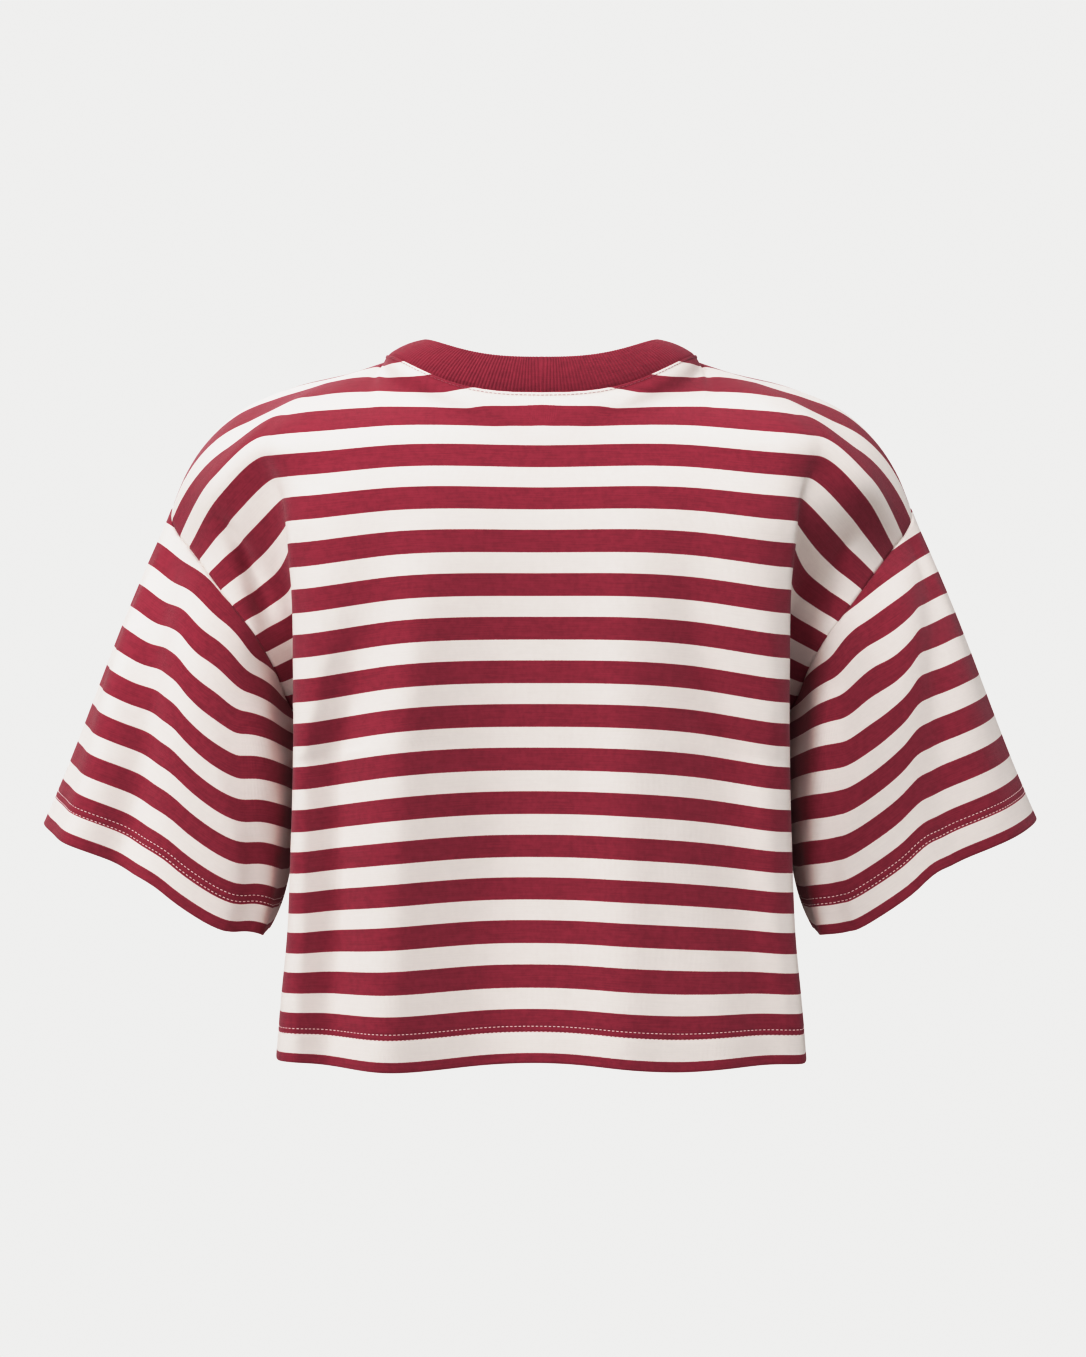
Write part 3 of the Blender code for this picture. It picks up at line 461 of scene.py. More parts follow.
SLEEVE_CREASES = {
    # the same, with places measured round the hem
    "left": ((150, 118, 186, 40, 8.0, 1.0), (196, 96, 214, 20, 7.0, -0.9), (60, 150, 74, 60, 9.0, -0.8)),
    "right": ((142, 122, 178, 46, 8.0, 1.0), (200, 90, 216, 24, 7.0, -0.9), (68, 146, 84, 50, 9.0, -0.8)),
}

# The studio, in metres and watts.
CAMERA_PLACE = (-0.001, 2.8, -0.2047)
CAMERA_CLIP = (0.05, 50.0)
SENSOR = 36.0
FRAME_PIXELS = 1357
PIXEL = 0.6426  # millimetres to a pixel at the garment's middle
AMBIENT = 0.24  # light from all round, as a share of the backdrop that is seen
FLOOR_SIZE = 2.6
FLOOR_HEIGHT = -1.2
FLOOR_SIDES = 96
FLOOR_FADE = (0.25, 0.95)  # shares of its size between which it fades out
FLOOR_ROUGHNESS = 0.9
LIGHTS = {
    # place, target, size
    "key": ((1.2, 2.4, 1.2), (0.0, 0.0, -0.22), 1.0),
    "side": ((2.4, 0.9, 0.6), (0.0, 0.0, -0.22), 0.8),
    "top": ((-0.5, 0.7, 2.6), (0.0, 0.0, -0.22), 1.2),
    "fill": ((-2.2, 1.6, 0.6), (0.0, 0.0, -0.25), 1.5),
    "front": ((0.7, -2.5, 0.9), (0.0, 0.0, -0.22), 1.4),
}
MOST_POWER = 500.0
TONE_POINTS = (
    (0.0, 0.0), (0.05, 0.0225), (0.12, 0.073), (0.20, 0.140), (0.28, 0.236), (0.36, 0.355), (0.46, 0.487),
    (0.56, 0.597), (0.66, 0.698), (0.77, 0.790), (0.91, 0.862), (1.0, 0.885),
)

PANELS = {
    "back": {
        "face": BACK_FACE,
        "valley": BACK_VALLEY,
        "armhole": BACK_ARMHOLE,
        "folds": BACK_FOLDS,
        "lifts": BACK_LIFTS,
        "faces": 1.0,
        "fold_levels": (398.0, 350.0),
        "neck_height": -26.0,
        "neck_levels": ((0.0, 435.0), (0.193, 439.9), (0.404, 454.5), (0.61, 467.9), (1.0, 484.0)),
        "neck_turn": NECK_TURN,
        "tip_level": 449.0,
        "neck_spread": 0.42,
        "arrive": BACK_ARRIVE,
        "arm_steps": 62,
        "top_steps": 22,
        "top_run": 60.0,
        "creases": BACK_CREASES,
        "creases_right": BACK_CREASES_RIGHT,
    },
    "front": {
        "face": FRONT_FACE,
        "valley": FRONT_VALLEY,
        "armhole": FRONT_ARMHOLE,
        "folds": FRONT_FOLDS,
        "lifts": (),
        "faces": -1.0,
        "fold_levels": (330.0, 285.0),
        "neck_height": -90.0,
        "neck_levels": ((0.0, 370.0), (0.25, 376.2), (0.5, 395.0), (0.75, 426.2), (1.0, 470.0)),
        "neck_turn": 180.0 - NECK_TURN,
        "tip_level": 436.0,
        "neck_spread": 0.52,
        "arrive": FRONT_ARRIVE,
        "arm_steps": 40,
        "top_steps": 44,
        "top_run": 120.0,
        "creases": FRONT_CREASES,
        "creases_right": FRONT_CREASES_RIGHT,
    },
}


def slopes_at(knots, points):
    """The slope at each knot: that of the parabola through it and its neighbours, or of the end chord."""
    steps = np.diff(knots, axis=-1)[..., None]
    chords = np.diff(points, axis=-2) / steps
    slopes = np.empty_like(points)
    before, after = steps[..., :-1, :], steps[..., 1:, :]
    slopes[..., 1:-1, :] = (after * chords[..., :-1, :] + before * chords[..., 1:, :]) / (before + after)
    slopes[..., 0, :] = chords[..., 0, :]
    slopes[..., -1, :] = chords[..., -1, :]
    return slopes


def hermite(share, start, start_slope, end, end_slope):
    """A cubic from start to end that leaves and arrives with the given slopes, at a share of the way."""
    square, cube = share * share, share * share * share
    return (
        (2 * cube - 3 * square + 1) * start
        + (cube - 2 * square + share) * start_slope
        + (3 * square - 2 * cube) * end
        + (cube - square) * end_slope
    )


def spline(table, at):
    """A smooth curve through the rows of a table, whose first column is the knot."""
    table = np.asarray(table, float)
    knots, points = table[:, 0], table[:, 1:]
    slopes = slopes_at(knots, points)
    piece = np.clip(np.searchsorted(knots, at, side="right") - 1, 0, len(knots) - 2)
    length = (knots[piece + 1] - knots[piece])[..., None]
    share = (np.asarray(at)[..., None] - knots[piece][..., None]) / length
    start_slope, end_slope = slopes[piece] * length, slopes[piece + 1] * length
    return hermite(share, points[piece], start_slope, points[piece + 1], end_slope)


def curves_through(points, share):
    """One smooth curve through each row of points (rows, points, 3), read at shares of its own length from
    the second point on: the first only sets how the curve leaves the second."""
    lengths = np.linalg.norm(np.diff(points, axis=1), axis=2)
    knots = np.concatenate([np.zeros((len(points), 1)), np.cumsum(lengths, axis=1)], axis=1) - lengths[:, :1]
    slopes = slopes_at(knots, points)
    at = share * knots[:, -1:]
    piece = (at[:, :, None] >= knots[:, None, 1:-1]).sum(axis=2)
    piece = np.clip(piece, 1, points.shape[1] - 2)

    def pick(values, which):
        return np.take_along_axis(values, which[:, :, None].repeat(values.shape[2], axis=2), axis=1)

    begin = np.take_along_axis(knots, piece, axis=1)
    length = (np.take_along_axis(knots, piece + 1, axis=1) - begin)[..., None]
    local = (at - begin)[..., None] / length
    start, start_slope = pick(points, piece), pick(slopes, piece) * length
    end, end_slope = pick(points, piece + 1), pick(slopes, piece + 1) * length
    return hermite(local, start, start_slope, end, end_slope)


def signed_power(values, power):
    """|v|^power, with the sign of v."""
    return np.sign(values) * np.abs(values) ** power


def neck_curve(turn, half_width, back, front, middle_height, side_height, front_height):
    """A loop round the neck. The plan is a superellipse, deeper at the front, and the height falls from the
    sides to the middle of the back and of the front. turn is in degrees, 0 at the middle of the back."""
    angle = np.radians(turn)
    power = 2 / NECK_SQUARENESS  # of the sine and the cosine
    x = half_width * signed_power(np.sin(angle), power)
    lean = signed_power(np.cos(angle), power)
    y = np.where(lean > 0, back, front) * lean
    low = np.where(lean > 0, middle_height, front_height)
    fall = np.abs(lean) ** np.where(lean > 0, NECK_FALL_BACK, NECK_FALL_FRONT)
    z = side_height + (low - side_height) * fall
    return np.stack([x, y, z], axis=-1)


def neck_seam(turn):
    """The line along which the neck band is sewn on."""
    heights = (PANELS["back"]["neck_height"], NECK_SIDE_HEIGHT, PANELS["front"]["neck_height"])
    return neck_curve(turn, NECK_HALF_WIDTH, NECK_BACK, NECK_FRONT, *heights)


def edge_width(level):
    """Half the pattern's width at a level: straight below the underarm, then out to the shoulder tip."""
    rise = np.clip((level - UNDERARM) / (PANELS["back"]["tip_level"] - UNDERARM), 0, 1)
    return CUT_WIDTH + (SHOULDER_WIDTH - CUT_WIDTH) * rise**SHOULDER_FLARE


def edge_points(panel, level):
    """The end of the row at each level: on the side seam, or on the armhole above the underarm."""
    above = spline(panel["armhole"], np.maximum(level, UNDERARM))
    below = spline(SIDE_SEAM, np.minimum(level, UNDERARM))
    return np.where(level[..., None] > UNDERARM, above, below)


def lower_rows(panel, level, shares):
    """Points of the rows at these levels, at these shares of the half width: a smooth curve through the
    middle, the blade, the fold's edge, its valley and the panel's edge."""
    face = spline(panel["face"], level)
    middle = np.stack([0 * level, face[:, 0], face[:, 1]], axis=1)
    blade = np.stack([0 * level + BLADE_X, face[:, 2], face[:, 3]], axis=1)
    crest, valley, edge = face[:, 4:7], spline(panel["valley"], level), edge_points(panel, level)
    sharp = smooth(*panel["fold_levels"], level)[:, None]
    shares_of_fold = [np.array(soft) + (np.array(hard) - soft) * sharp for soft, hard in FOLDS]
    fold = [crest + (blade - crest) * share for share in shares_of_fold]
    guides = np.stack([blade * (-1, 1, 1), middle, blade, *fold, valley, edge], axis=1)
    return curves_through(guides, np.broadcast_to(shares, (len(level), len(shares))))


def panel_columns(panel, columns):
    """The share of the half width of each column: 0 to 1 end in the neckline, 1 to 2 in the shoulder."""
    spread = panel["neck_spread"]
    return np.where(columns <= 1, spread * columns, spread + (1 - spread) * (columns - 1))


def top_reach(columns):
    """How far along the neckline and along the shoulder seam each column ends. Both slow down towards the
    side of the neck, so that the corner there leaves no ridge in the cloth: 1 - (1 - t)^2.2, then t^2.2."""
    neck = 1 - (1 - np.clip(columns, 0, 1)) ** CORNER_EASE
    return neck, np.clip(columns - 1, 0, 1) ** CORNER_EASE


def top_boundary(panel, columns):
    """Where each column ends, and at what level: on the neckline up to column 1, then on the shoulder."""
    across, along = top_reach(columns)
    turn = panel["neck_turn"] * across
    if panel["faces"] < 0:
        turn = 180.0 - turn
    neck = neck_seam(turn)
    # The seam's table starts near the side of the neck. It is moved there, less and less further along.
    start = neck_seam(np.array([NECK_TURN])) - SHOULDER_SEAM[0][1:]
    seam = spline(SHOULDER_SEAM, along) + start * smooth(SHOULDER_BLEND, 0.0, along)[:, None]
    points = np.where(columns[:, None] > 1, seam, neck)
    high = panel["neck_levels"][-1][1]
    level = spline(panel["neck_levels"], across)[:, 0]
    level = np.where(columns > 1, high + (panel["tip_level"] - high) * along, level)
    return points, level


def half_panel(panel, columns, levels, shares):
    """Points, and pattern places and levels, of half a panel. levels are those of the lower rows, the last
    of them the row where the top begins, and shares are how far up the top each further row lies."""
    share = panel_columns(panel, columns)
    levels = np.asarray(levels, float)
    last = levels[-1]
    low = lower_rows(panel, levels, share)
    near = lower_rows(panel, np.array([last - 1.0, last]), share)
    leave = near[1] - near[0]  # for each millimetre of the way up
    top, top_level = top_boundary(panel, columns)
    rise = (top_level - last)[:, None]
    arrive = unit(spline(panel["arrive"], columns)) * rise
    shares = np.asarray(shares, float)[:, None, None]
    high = hermite(shares, near[1], leave * rise, top, arrive)
    high_level = last + (top_level - last) * shares[:, :, 0]
    # The last column follows the armhole, and takes its neighbours with it.
    edge = edge_points(panel, high_level[:, -1])
    pull = np.clip((share - EDGE_PULL_FROM) / (1 - EDGE_PULL_FROM), 0, 1) ** 2
    high = high + (edge - high[:, -1])[:, None, :] * pull[None, :, None]
    points = np.concatenate([low, high])
    level = np.concatenate([np.repeat(levels[:, None], len(columns), axis=1), high_level])
    place = share * edge_width(level[:, -1:])
    neck = NECK_HALF_WIDTH / SHOULDER_WIDTH
    across, along = top_reach(columns)
    top_share = np.where(columns <= 1, neck * np.sin(np.radians(90 * across)), neck + (1 - neck) * along)
    place[len(levels) :] += shares[:, :, 0] * (top_share - share) * SHOULDER_WIDTH
    return points, place, level


def drape(panel, points, place, level):
    """The soft folds of a panel's face and the dips of its hem, as bells across each fold's middle line."""
    fade = np.clip(np.abs(points[..., 1]) / FOLD_FADE - 1, 0, 1)
    for upper, upper_place, lower, lower_place, half_width, height in panel["folds"]:
        down = (upper - level) / (upper - lower)
        middle = upper_place + (lower_place - upper_place) * down
        grow = smooth(0, 1, down * FOLD_START)
        points[..., 1] += panel["faces"] * height * grow * fade * bell((place - middle) / half_width)
    for middle, height, half_width, half_height, lift in panel["lifts"]:
        away = np.hypot((place - middle) / half_width, (level - height) / half_height)
        points[..., 1] += panel["faces"] * lift * bell(away)
    for middle, half_width, drop in HEM_DIPS:
        away = (panel["faces"] * place - middle) / half_width
        points[..., 2] -= drop * bell(away) * np.clip(1 - level / HEM_DIP_REACH, 0, 1) * fade
    return points


def creases(place, level, table):
    """Heights of small creases: each is a bell across the line between two points of the pattern, fading out
    towards both ends."""
    total = np.zeros_like(place)
    for from_place, from_level, to_place, to_level, half_width, height in table:
        run, rise = to_place - from_place, to_level - from_level
        along = ((place - from_place) * run + (level - from_level) * rise) / (run * run + rise * rise)
        along = np.clip(along, 0, 1)
        away = np.hypot(place - from_place - along * run, level - from_level - along * rise) / half_width
        total += height * np.sin(np.pi * along) ** CREASE_POWER * bell(away)
    return total


def half_columns():
    """Column parameters of half a panel: 0 at its middle, 1 at the side of the neck, 2 at its edge, where
    they are closest."""
    neck = np.linspace(0, 1, NECK_STEPS + 1)
    reach = 1 - EDGE_STEPS[0] / EDGE_RUN
    over = 1 + np.linspace(0, reach, SHOULDER_STEPS + 1)[1:]
    return np.concatenate([neck, over, 2 - np.array(EDGE_STEPS[1:]) / EDGE_RUN])


def panel_levels(panel):
    """Levels of the lower rows, closest at the hem's edge and stitching and at the underarm."""
    last = panel["face"][-1][0]
    body = np.linspace(HEM_ROWS[-1], UNDERARM, BODY_STEPS + 1)[1:]
    start = UNDERARM + np.array(UNDERARM_STEPS)
    arm = np.linspace(start[-1], last, panel["arm_steps"] + 1)[1:]
    return np.concatenate([HEM_ROWS, body, start, arm]), len(HEM_ROWS) + BODY_STEPS - 1


def top_shares(panel):
    """How far up the top each row lies, closest at the neckline and shoulder seam."""
    reach = 1 - EDGE_STEPS[0] / panel["top_run"]
    return np.concatenate(
        [np.linspace(0, reach, panel["top_steps"] + 1)[1:], 1 - np.array(EDGE_STEPS[1:]) / panel["top_run"]]
    )


def both_halves(half, mirror=1):
    """A whole grid from its left half, mirrored in its first column."""
    return np.concatenate([half[:, :0:-1] * mirror, half], axis=1)


@functools.lru_cache(maxsize=None)
def panel_sheet(name):
    """A whole panel from the wearer's right to left: outer points, outward normals, places, levels, distances
    from the side edge and from the top edge, the column parameters and the row of the underarm."""
    panel = PANELS[name]
    columns = half_columns()
    levels, underarm = panel_levels(panel)
    points, place, level = half_panel(panel, columns, levels, top_shares(panel))
    to_edge = (1 - panel_columns(panel, columns)) * edge_width(level[:, -1:])
    to_top = top_boundary(panel, columns)[1] - level
    points, place = both_halves(points, (-1, 1, 1)), both_halves(place, -1)
    level, to_edge, to_top = both_halves(level), both_halves(to_edge), both_halves(to_top)
    points = drape(panel, points, place, level)
    normal = normals_of(points)
    normal = normal * np.sign(normal[..., 1].mean() * panel["faces"])
    sheet = {"points": points, "normal": normal, "place": place, "level": level}
    sheet |= {"to_edge": to_edge, "to_top": to_top, "underarm": underarm}
    return sheet | {"columns": np.concatenate([-columns[:0:-1], columns])}


def normals_of(grid, closed=False):
    """Unit normals of a grid of points, rows by columns; closed says that the columns run round a tube."""
    along = np.gradient(grid, axis=0)
    if closed:
        across = (np.roll(grid, -1, axis=1) - np.roll(grid, 1, axis=1)) / 2
    else:
        across = np.gradient(grid, axis=1)
    return unit(np.cross(across, along))


def unit(vectors):
    """Vectors of length 1 in the same directions."""
    return vectors / np.maximum(np.linalg.norm(vectors, axis=-1, keepdims=True), TINY)


def armhole_loop(column):
    """The armhole edge at a panel's last or first column, from the shoulder tip down the back and up the
    front, and which of its points is the underarm."""
    sheets = [panel_sheet(name) for name in PANELS]
    back, front = (sheet["points"][sheet["underarm"] :, column] for sheet in sheets)
    return np.concatenate([back[::-1], front[1:-1]]), len(back) - 1


def ring_steps(ring):
    """Length of the step from each point of a ring to the next."""
    return np.linalg.norm(np.roll(ring, -1, axis=0) - ring, axis=1)


def sleeve_hem(turn, sags):
    """The loop of the sleeve's hem: a slanted oval with a few sags. turn is 0 outside and 0.25 behind."""
    angle = 2 * np.pi * turn
    slope = np.radians(SLEEVE_HEM_SLOPE)
    across = np.array([np.cos(slope), 0, np.sin(slope)])
    down = np.array([np.sin(slope), 0, -np.cos(slope)])
    outside, inside = SLEEVE_HEM_SQUARENESS
    power = outside + (inside - outside) * smooth(*SLEEVE_HEM_CHANGE, np.cos(angle))
    x = SLEEVE_HEM_HALF_WIDTH * signed_power(np.cos(angle), power)
    y = SLEEVE_HEM_HALF_DEPTH * signed_power(np.sin(angle), power)
    sag = spline(sags, turn)[:, 0]
    return np.array(SLEEVE_HEM_CENTRE) + np.outer(x, across) + np.outer(y, (0, 1, 0)) + np.outer(sag, down)


def turns_of(loop, half):
    """How far round each point of the armhole lies, with the shoulder tip at 0 and the underarm at 0.5."""
    steps = ring_steps(loop)
    back = np.cumsum(steps[:half]) / steps[:half].sum() * 0.5
    front = 0.5 + np.cumsum(steps[half:]) / steps[half:].sum() * 0.5
    return np.concatenate([[0.0], back, front[:-1]])


def sleeve_rows(lengths):
    """How far down the sleeve each row lies in each column: even rows, then the hem's at real distances."""
    hem = np.array(HEM_ROWS)[::-1, None]
    seam = np.array(SEAM_ROWS)[:, None]
    body = np.linspace(0, 1, SLEEVE_STEPS + 1)[1:-1, None]
    low, high = 1 - HEM_ROWS[-1] / lengths, SEAM_ROWS[-1] / lengths
    return np.concatenate([seam / lengths, high + (low - high) * body, 1 - hem / lengths])


def leaned(turn, down, lean):
    """The turn at the hem of the line through each place: lines lean away from the shoulder on their way
    down, by lean (1 - down)^2.5 turns, less towards the shoulder and the underarm."""
    side = np.minimum(turn, 1 - turn)
    shift = lean * (1 - down) ** LEAN_FALL * smooth(0, LEAN_START, side) * (1 - 4 * side * side)
    return turn + np.where(turn < 0.5, shift, -shift)


def sleeve_points(loop, hem, turns, down, folds, lean):
    """Outer points of a sleeve on the wearer's left: a cubic from the armhole to the hem in each column, with
    folds as bells across lines that run down it."""
    ways = spline(SLEEVE_WAYS, turns)
    length = np.linalg.norm(hem - loop, axis=1)[:, None]
    at = down[..., None]
    points = hermite(at, loop, unit(ways[:, :3]) * length, hem, unit(ways[:, 3:]) * length)
    middle = points.mean(axis=1, keepdims=True)
    outward = unit((points - middle) * SLEEVE_OUTWARD)
    for centre, half_width, height in folds:
        away = leaned(turns, down, lean) - centre
        grow = np.sin(np.pi / 2 * np.clip(down / SLEEVE_FOLD_FULL, 0, 1))
        points = points + outward * (height * grow * bell(away / half_width))[..., None]
    return points


@functools.lru_cache(maxsize=None)
def sleeve_sheet(side):
    """A sleeve as if it were the left one: points, normals, distance above the hem, height in the pattern,
    and the column of the underarm."""
    sign, column = SIDES[side]
    sags, lean = HEM_SAGS[side], SLEEVE_LEAN[side]
    loop, half = armhole_loop(column)
    loop = loop * (sign, 1, 1)
    turns = turns_of(loop, half)
    hem = sleeve_hem(turns, sags)
    down = sleeve_rows(np.linalg.norm(hem - loop, axis=1))
    points = sleeve_points(loop, hem, turns, down, SLEEVE_FOLDS[side], lean)
    steps = np.linalg.norm(np.diff(points, axis=0), axis=2)
    above = np.concatenate([np.cumsum(steps[::-1], axis=0)[::-1], np.zeros((1, len(turns)))])
    normal = normals_of(points, closed=True)
    normal = normal * np.sign(((points - points.mean(axis=(0, 1))) * normal).sum())
    sag = spline(sags, leaned(turns, down, lean))[..., 0] * smooth(0, SAG_FADE, down)
    chart = above + sag - spline(sags, turns)[:, 0]
    drift = spline(SLEEVE_STRIPE_DRIFT[side], np.clip(chart, 0, SLEEVE_STRIPE_DRIFT[side][-1][0]))
    beside = smooth(*DRIFT_BLEND, np.minimum(turns, 1 - turns))
    chart = chart + SLEEVE_STRIPE_SHIFT + drift[..., 0] + (drift[..., 1] - drift[..., 0]) * beside
    return {"points": points, "normal": normal, "above": above, "chart": chart, "half": half}


@functools.lru_cache(maxsize=None)
def joined_sheets():
    """All four sheets, with one direction for the wall's thickness wherever two of them meet."""
    sheets = {name: dict(panel_sheet(name)) for name in PANELS}
    for sheet in sheets.values():
        sheet["normal"] = sheet["normal"].copy()
    back, front = sheets["back"]["normal"], sheets["front"]["normal"]
    for side, (sign, column) in SIDES.items():
        mirror = np.array([sign, 1, 1])
        sleeve = sheets["sleeve_" + side] = dict(sleeve_sheet(side))
        sleeve["normal"] = sleeve["normal"].copy()
        first_back, first_front = sheets["back"]["underarm"], sheets["front"]["underarm"]
        side_seam = unit(back[: first_back + 1, column] + front[: first_front + 1, column])
        arm, half = sleeve["normal"][0] * mirror, sleeve["half"]
        back_arm = unit(back[first_back:, column] + arm[: half + 1][::-1])
        front_arm = unit(front[first_front:, column] + np.concatenate([arm[half:], arm[:1]]))
        side_seam[-1] = back_arm[0] = front_arm[0] = UNDERARM_OUT
        back_arm[-1] = front_arm[-1] = unit(back_arm[-1] + front_arm[-1])
        back[: first_back + 1, column] = front[: first_front + 1, column] = side_seam
        back[first_back:, column], front[first_front:, column] = back_arm, front_arm
        sleeve["normal"][0] = np.concatenate([back_arm[::-1], front_arm[1:-1]]) * mirror
    over = np.abs(sheets["back"]["columns"]) >= 1
    both = unit(back[-1, over] + front[-1, over])
    back[-1, over] = front[-1, over] = both
    return sheets


def smooth(low, high, values):
    """0 below low, 1 above high, and an even S between them."""
    at = np.clip((values - low) / (high - low), 0, 1)
    return at * at * (3 - 2 * at)


def bell(away):
    """1 at 0, and falling off evenly to both sides: exp(-away^2)."""
    return np.exp(-away * away)


def seam_groove(distance):
    """Height of the cloth beside a seam, which draws it in."""
    return -SEAM_GROOVE * bell(distance / SEAM_REACH)


def hem_relief(level, along):
    """Height of the cloth near a hem: two grooves where the twin needles pull it in, and the small puckers
    that they leave between and beside them, as sines along the hem."""
    grooves = sum(-STITCH_GROOVE * bell((level - line) / NEEDLE_REACH) for line in HEM_STITCHES)
    pucker = sum(height * np.sin(along / length + phase) for length, phase, height in HEM_PUCKERS)
    return grooves + pucker * bell((level - sum(HEM_STITCHES) / 2) / PUCKER_REACH)


def cloth_layers(cloth, level, *from_seams):
    """Thickness of the cloth: more where the hem is turned up, and in the allowances beside two seams."""
    layers = cloth + (HEM_LAYERS - JERSEY) * smooth(HEM_DEPTH + LAYER_EDGE, HEM_DEPTH, level)
    allowance = np.maximum(*(smooth(ALLOWANCE, ALLOWANCE - LAYER_EDGE, away) for away in from_seams))
    return layers + ALLOWANCE_LAYERS * allowance * smooth(HEM_DEPTH, HEM_DEPTH + HEM_EASE, level)


def rounded_edge(from_edge, thickness):
    """How far both skins draw together at an edge, so that the cloth turns over it in a half circle."""
    radius = thickness / 2
    inside = np.clip(1 - from_edge / radius, 0, 1)
    return radius * (1 - np.sqrt(np.maximum(1 - inside * inside, 0)))


def skins(sheet, level, bend, relief, layers):
    """The outer and the inner skin. Both bend, the relief is on the outside, and only a part of its grooves
    shows inside."""
    round_off = rounded_edge(level, HEM_LAYERS)
    outside = bend + relief - round_off
    inside = bend + np.minimum(relief, 0) * INSIDE_RELIEF - layers + round_off
    return [sheet["points"] + sheet["normal"] * height[..., None] for height in (outside, inside)]


def panel_skins(name, cloth):
    """The outer and inner skins of a panel, from the thickness of one layer of cloth."""
    sheet, panel = joined_sheets()[name], PANELS[name]
    level, place, to_edge, to_top = (sheet[key] for key in ("level", "place", "to_edge", "to_top"))
    ridge = NECK_RIDGE * smooth(*NECK_RIDGE_EDGES, to_top)
    ridge = ridge - NECK_GROOVE * bell((to_top - NECK_STITCH) / NECK_GROOVE_REACH)
    upper = np.where(np.abs(sheet["columns"]) <= 1, ridge, seam_groove(to_top))
    relief = seam_groove(to_edge) + upper + hem_relief(level, place * panel["faces"])
    bend = creases(place, level, panel["creases"]) + creases(-place, level, panel["creases_right"])
    return skins(sheet, level, bend, relief, cloth_layers(cloth, level, to_edge, to_top))


def sheet_round(sheet):
    """Distance round a sleeve's hem of each column, and the whole way round."""
    steps = ring_steps(sheet["points"][-1])
    return np.concatenate([[0], np.cumsum(steps)[:-1]]), steps.sum()


def sleeve_skins(side, cloth):
    """The outer and inner skins of a sleeve, as if it were the left one."""
    sheet = joined_sheets()["sleeve_" + side]
    above, around = sheet["above"], sheet_round(sheet)[0][None, :]
    from_seams = above[:1] - above, np.abs(around - around[:, sheet["half"]])
    relief = np.minimum(*map(seam_groove, from_seams)) + hem_relief(above, around + SLEEVE_PUCKERS_FROM)
    bend = creases(around + 0 * above, above, SLEEVE_CREASES[side])
    return skins(sheet, above, bend, relief, cloth_layers(cloth, above, *from_seams))


def wrapped(values, axis=0):
    """Values round a ring, with the first one repeated at the end."""
    return np.concatenate([values, np.take(values, [0], axis=axis)], axis=axis)


def numbered(rows, columns):
    """A grid of numbers, row by row."""
    return np.arange(rows * columns).reshape(rows, columns)


def cells(grid):
    """The four corners of each cell of a grid of vertex numbers."""
    return np.stack([grid[:-1, :-1], grid[:-1, 1:], grid[1:, 1:], grid[1:, :-1]], axis=-1).reshape(-1, 4)


def new_mesh(name, points, faces):
    """A smooth mesh from points in millimetres."""
    mesh = bpy.data.meshes.new(name)
    mesh.from_pydata((points * MM).tolist(), [], faces)
    mesh.update()
    mesh.shade_smooth()
    return mesh


def solid_mesh(name, points, faces, uv, charts):
    """A mesh from whole arrays in millimetres, turned so that its faces point out of the closed shape."""
    first, second, third, fourth = (points[faces[:, i]] for i in range(4))
    volume = (first * np.cross(second, third)).sum() + (first * np.cross(third, fourth)).sum()
    if volume < 0:
        faces, charts = faces[:, ::-1], charts[:, ::-1]
    mesh = new_mesh(name, points, faces.tolist())
    layer = mesh.uv_layers.new(name=PATTERN_MAP)
    layer.data.foreach_set("uv", (uv[charts.ravel()] * MM).astype(np.float32).ravel())
    return mesh


def shell_mesh(name, outer, inner, along, up, closed=False):
    """A thin shell between two skins of the same grid, with rims between their edges. Its UV map holds the
    pattern's two distances in metres, along and up. closed joins the last column to the first."""
    index, chart = numbered(*outer.shape[:2]), numbered(*along.shape)
    count = index.size
    if closed:
        index = wrapped(index, axis=1)

    def rim(line, back):
        return np.stack([line[1:], line[:-1], line[:-1] + back, line[1:] + back], axis=1)

    faces, charts = [cells(index), cells(index)[:, ::-1] + count], [cells(chart), cells(chart)[:, ::-1]]
    edges = [(index[0], chart[0]), (index[-1][::-1], chart[-1][::-1])]
    if not closed:
        edges += [(index[::-1, 0], chart[::-1, 0]), (index[:, -1], chart[:, -1])]
    for line, mapped in edges:
        faces.append(rim(line, count))
        charts.append(rim(mapped, 0))
    points = np.concatenate([outer.reshape(-1, 3), inner.reshape(-1, 3)])
    uv = np.stack([along.ravel(), up.ravel()], axis=1)
    return solid_mesh(name, points, np.concatenate(faces), uv, np.concatenate(charts))


def new_object(name, data):
    """An object in the scene, at the origin."""
    made = bpy.data.objects.new(name, data)
    bpy.context.scene.collection.objects.link(made)
    return made


def add_piece(name, mesh, material, node=None, slot=None):
    """Puts a finished mesh into the scene as a piece that rides on the garment's one body."""
    made = new_object(name, mesh)
    mesh.materials.append(material)
    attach(made, "root")
    if node:
        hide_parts(node)
    return made


def rows_at(grids, field, value):
    """For each column, each grid's values where the field, which rises along the rows, reaches a value."""
    below = np.clip((field < value).sum(axis=0) - 1, 0, len(field) - 2)
    column = np.arange(field.shape[1])
    low, high = field[below, column], field[below + 1, column]
    share = ((value - low) / np.where(high == low, 1, high - low))[:, None]
    return [grid[below, column] * (1 - share) + grid[below + 1, column] * share for grid in grids]


def read_along(at, run, line):
    """A line of vectors, read at distances along it."""
    return np.stack([np.interp(at, run, line[:, i]) for i in range(3)], axis=-1)


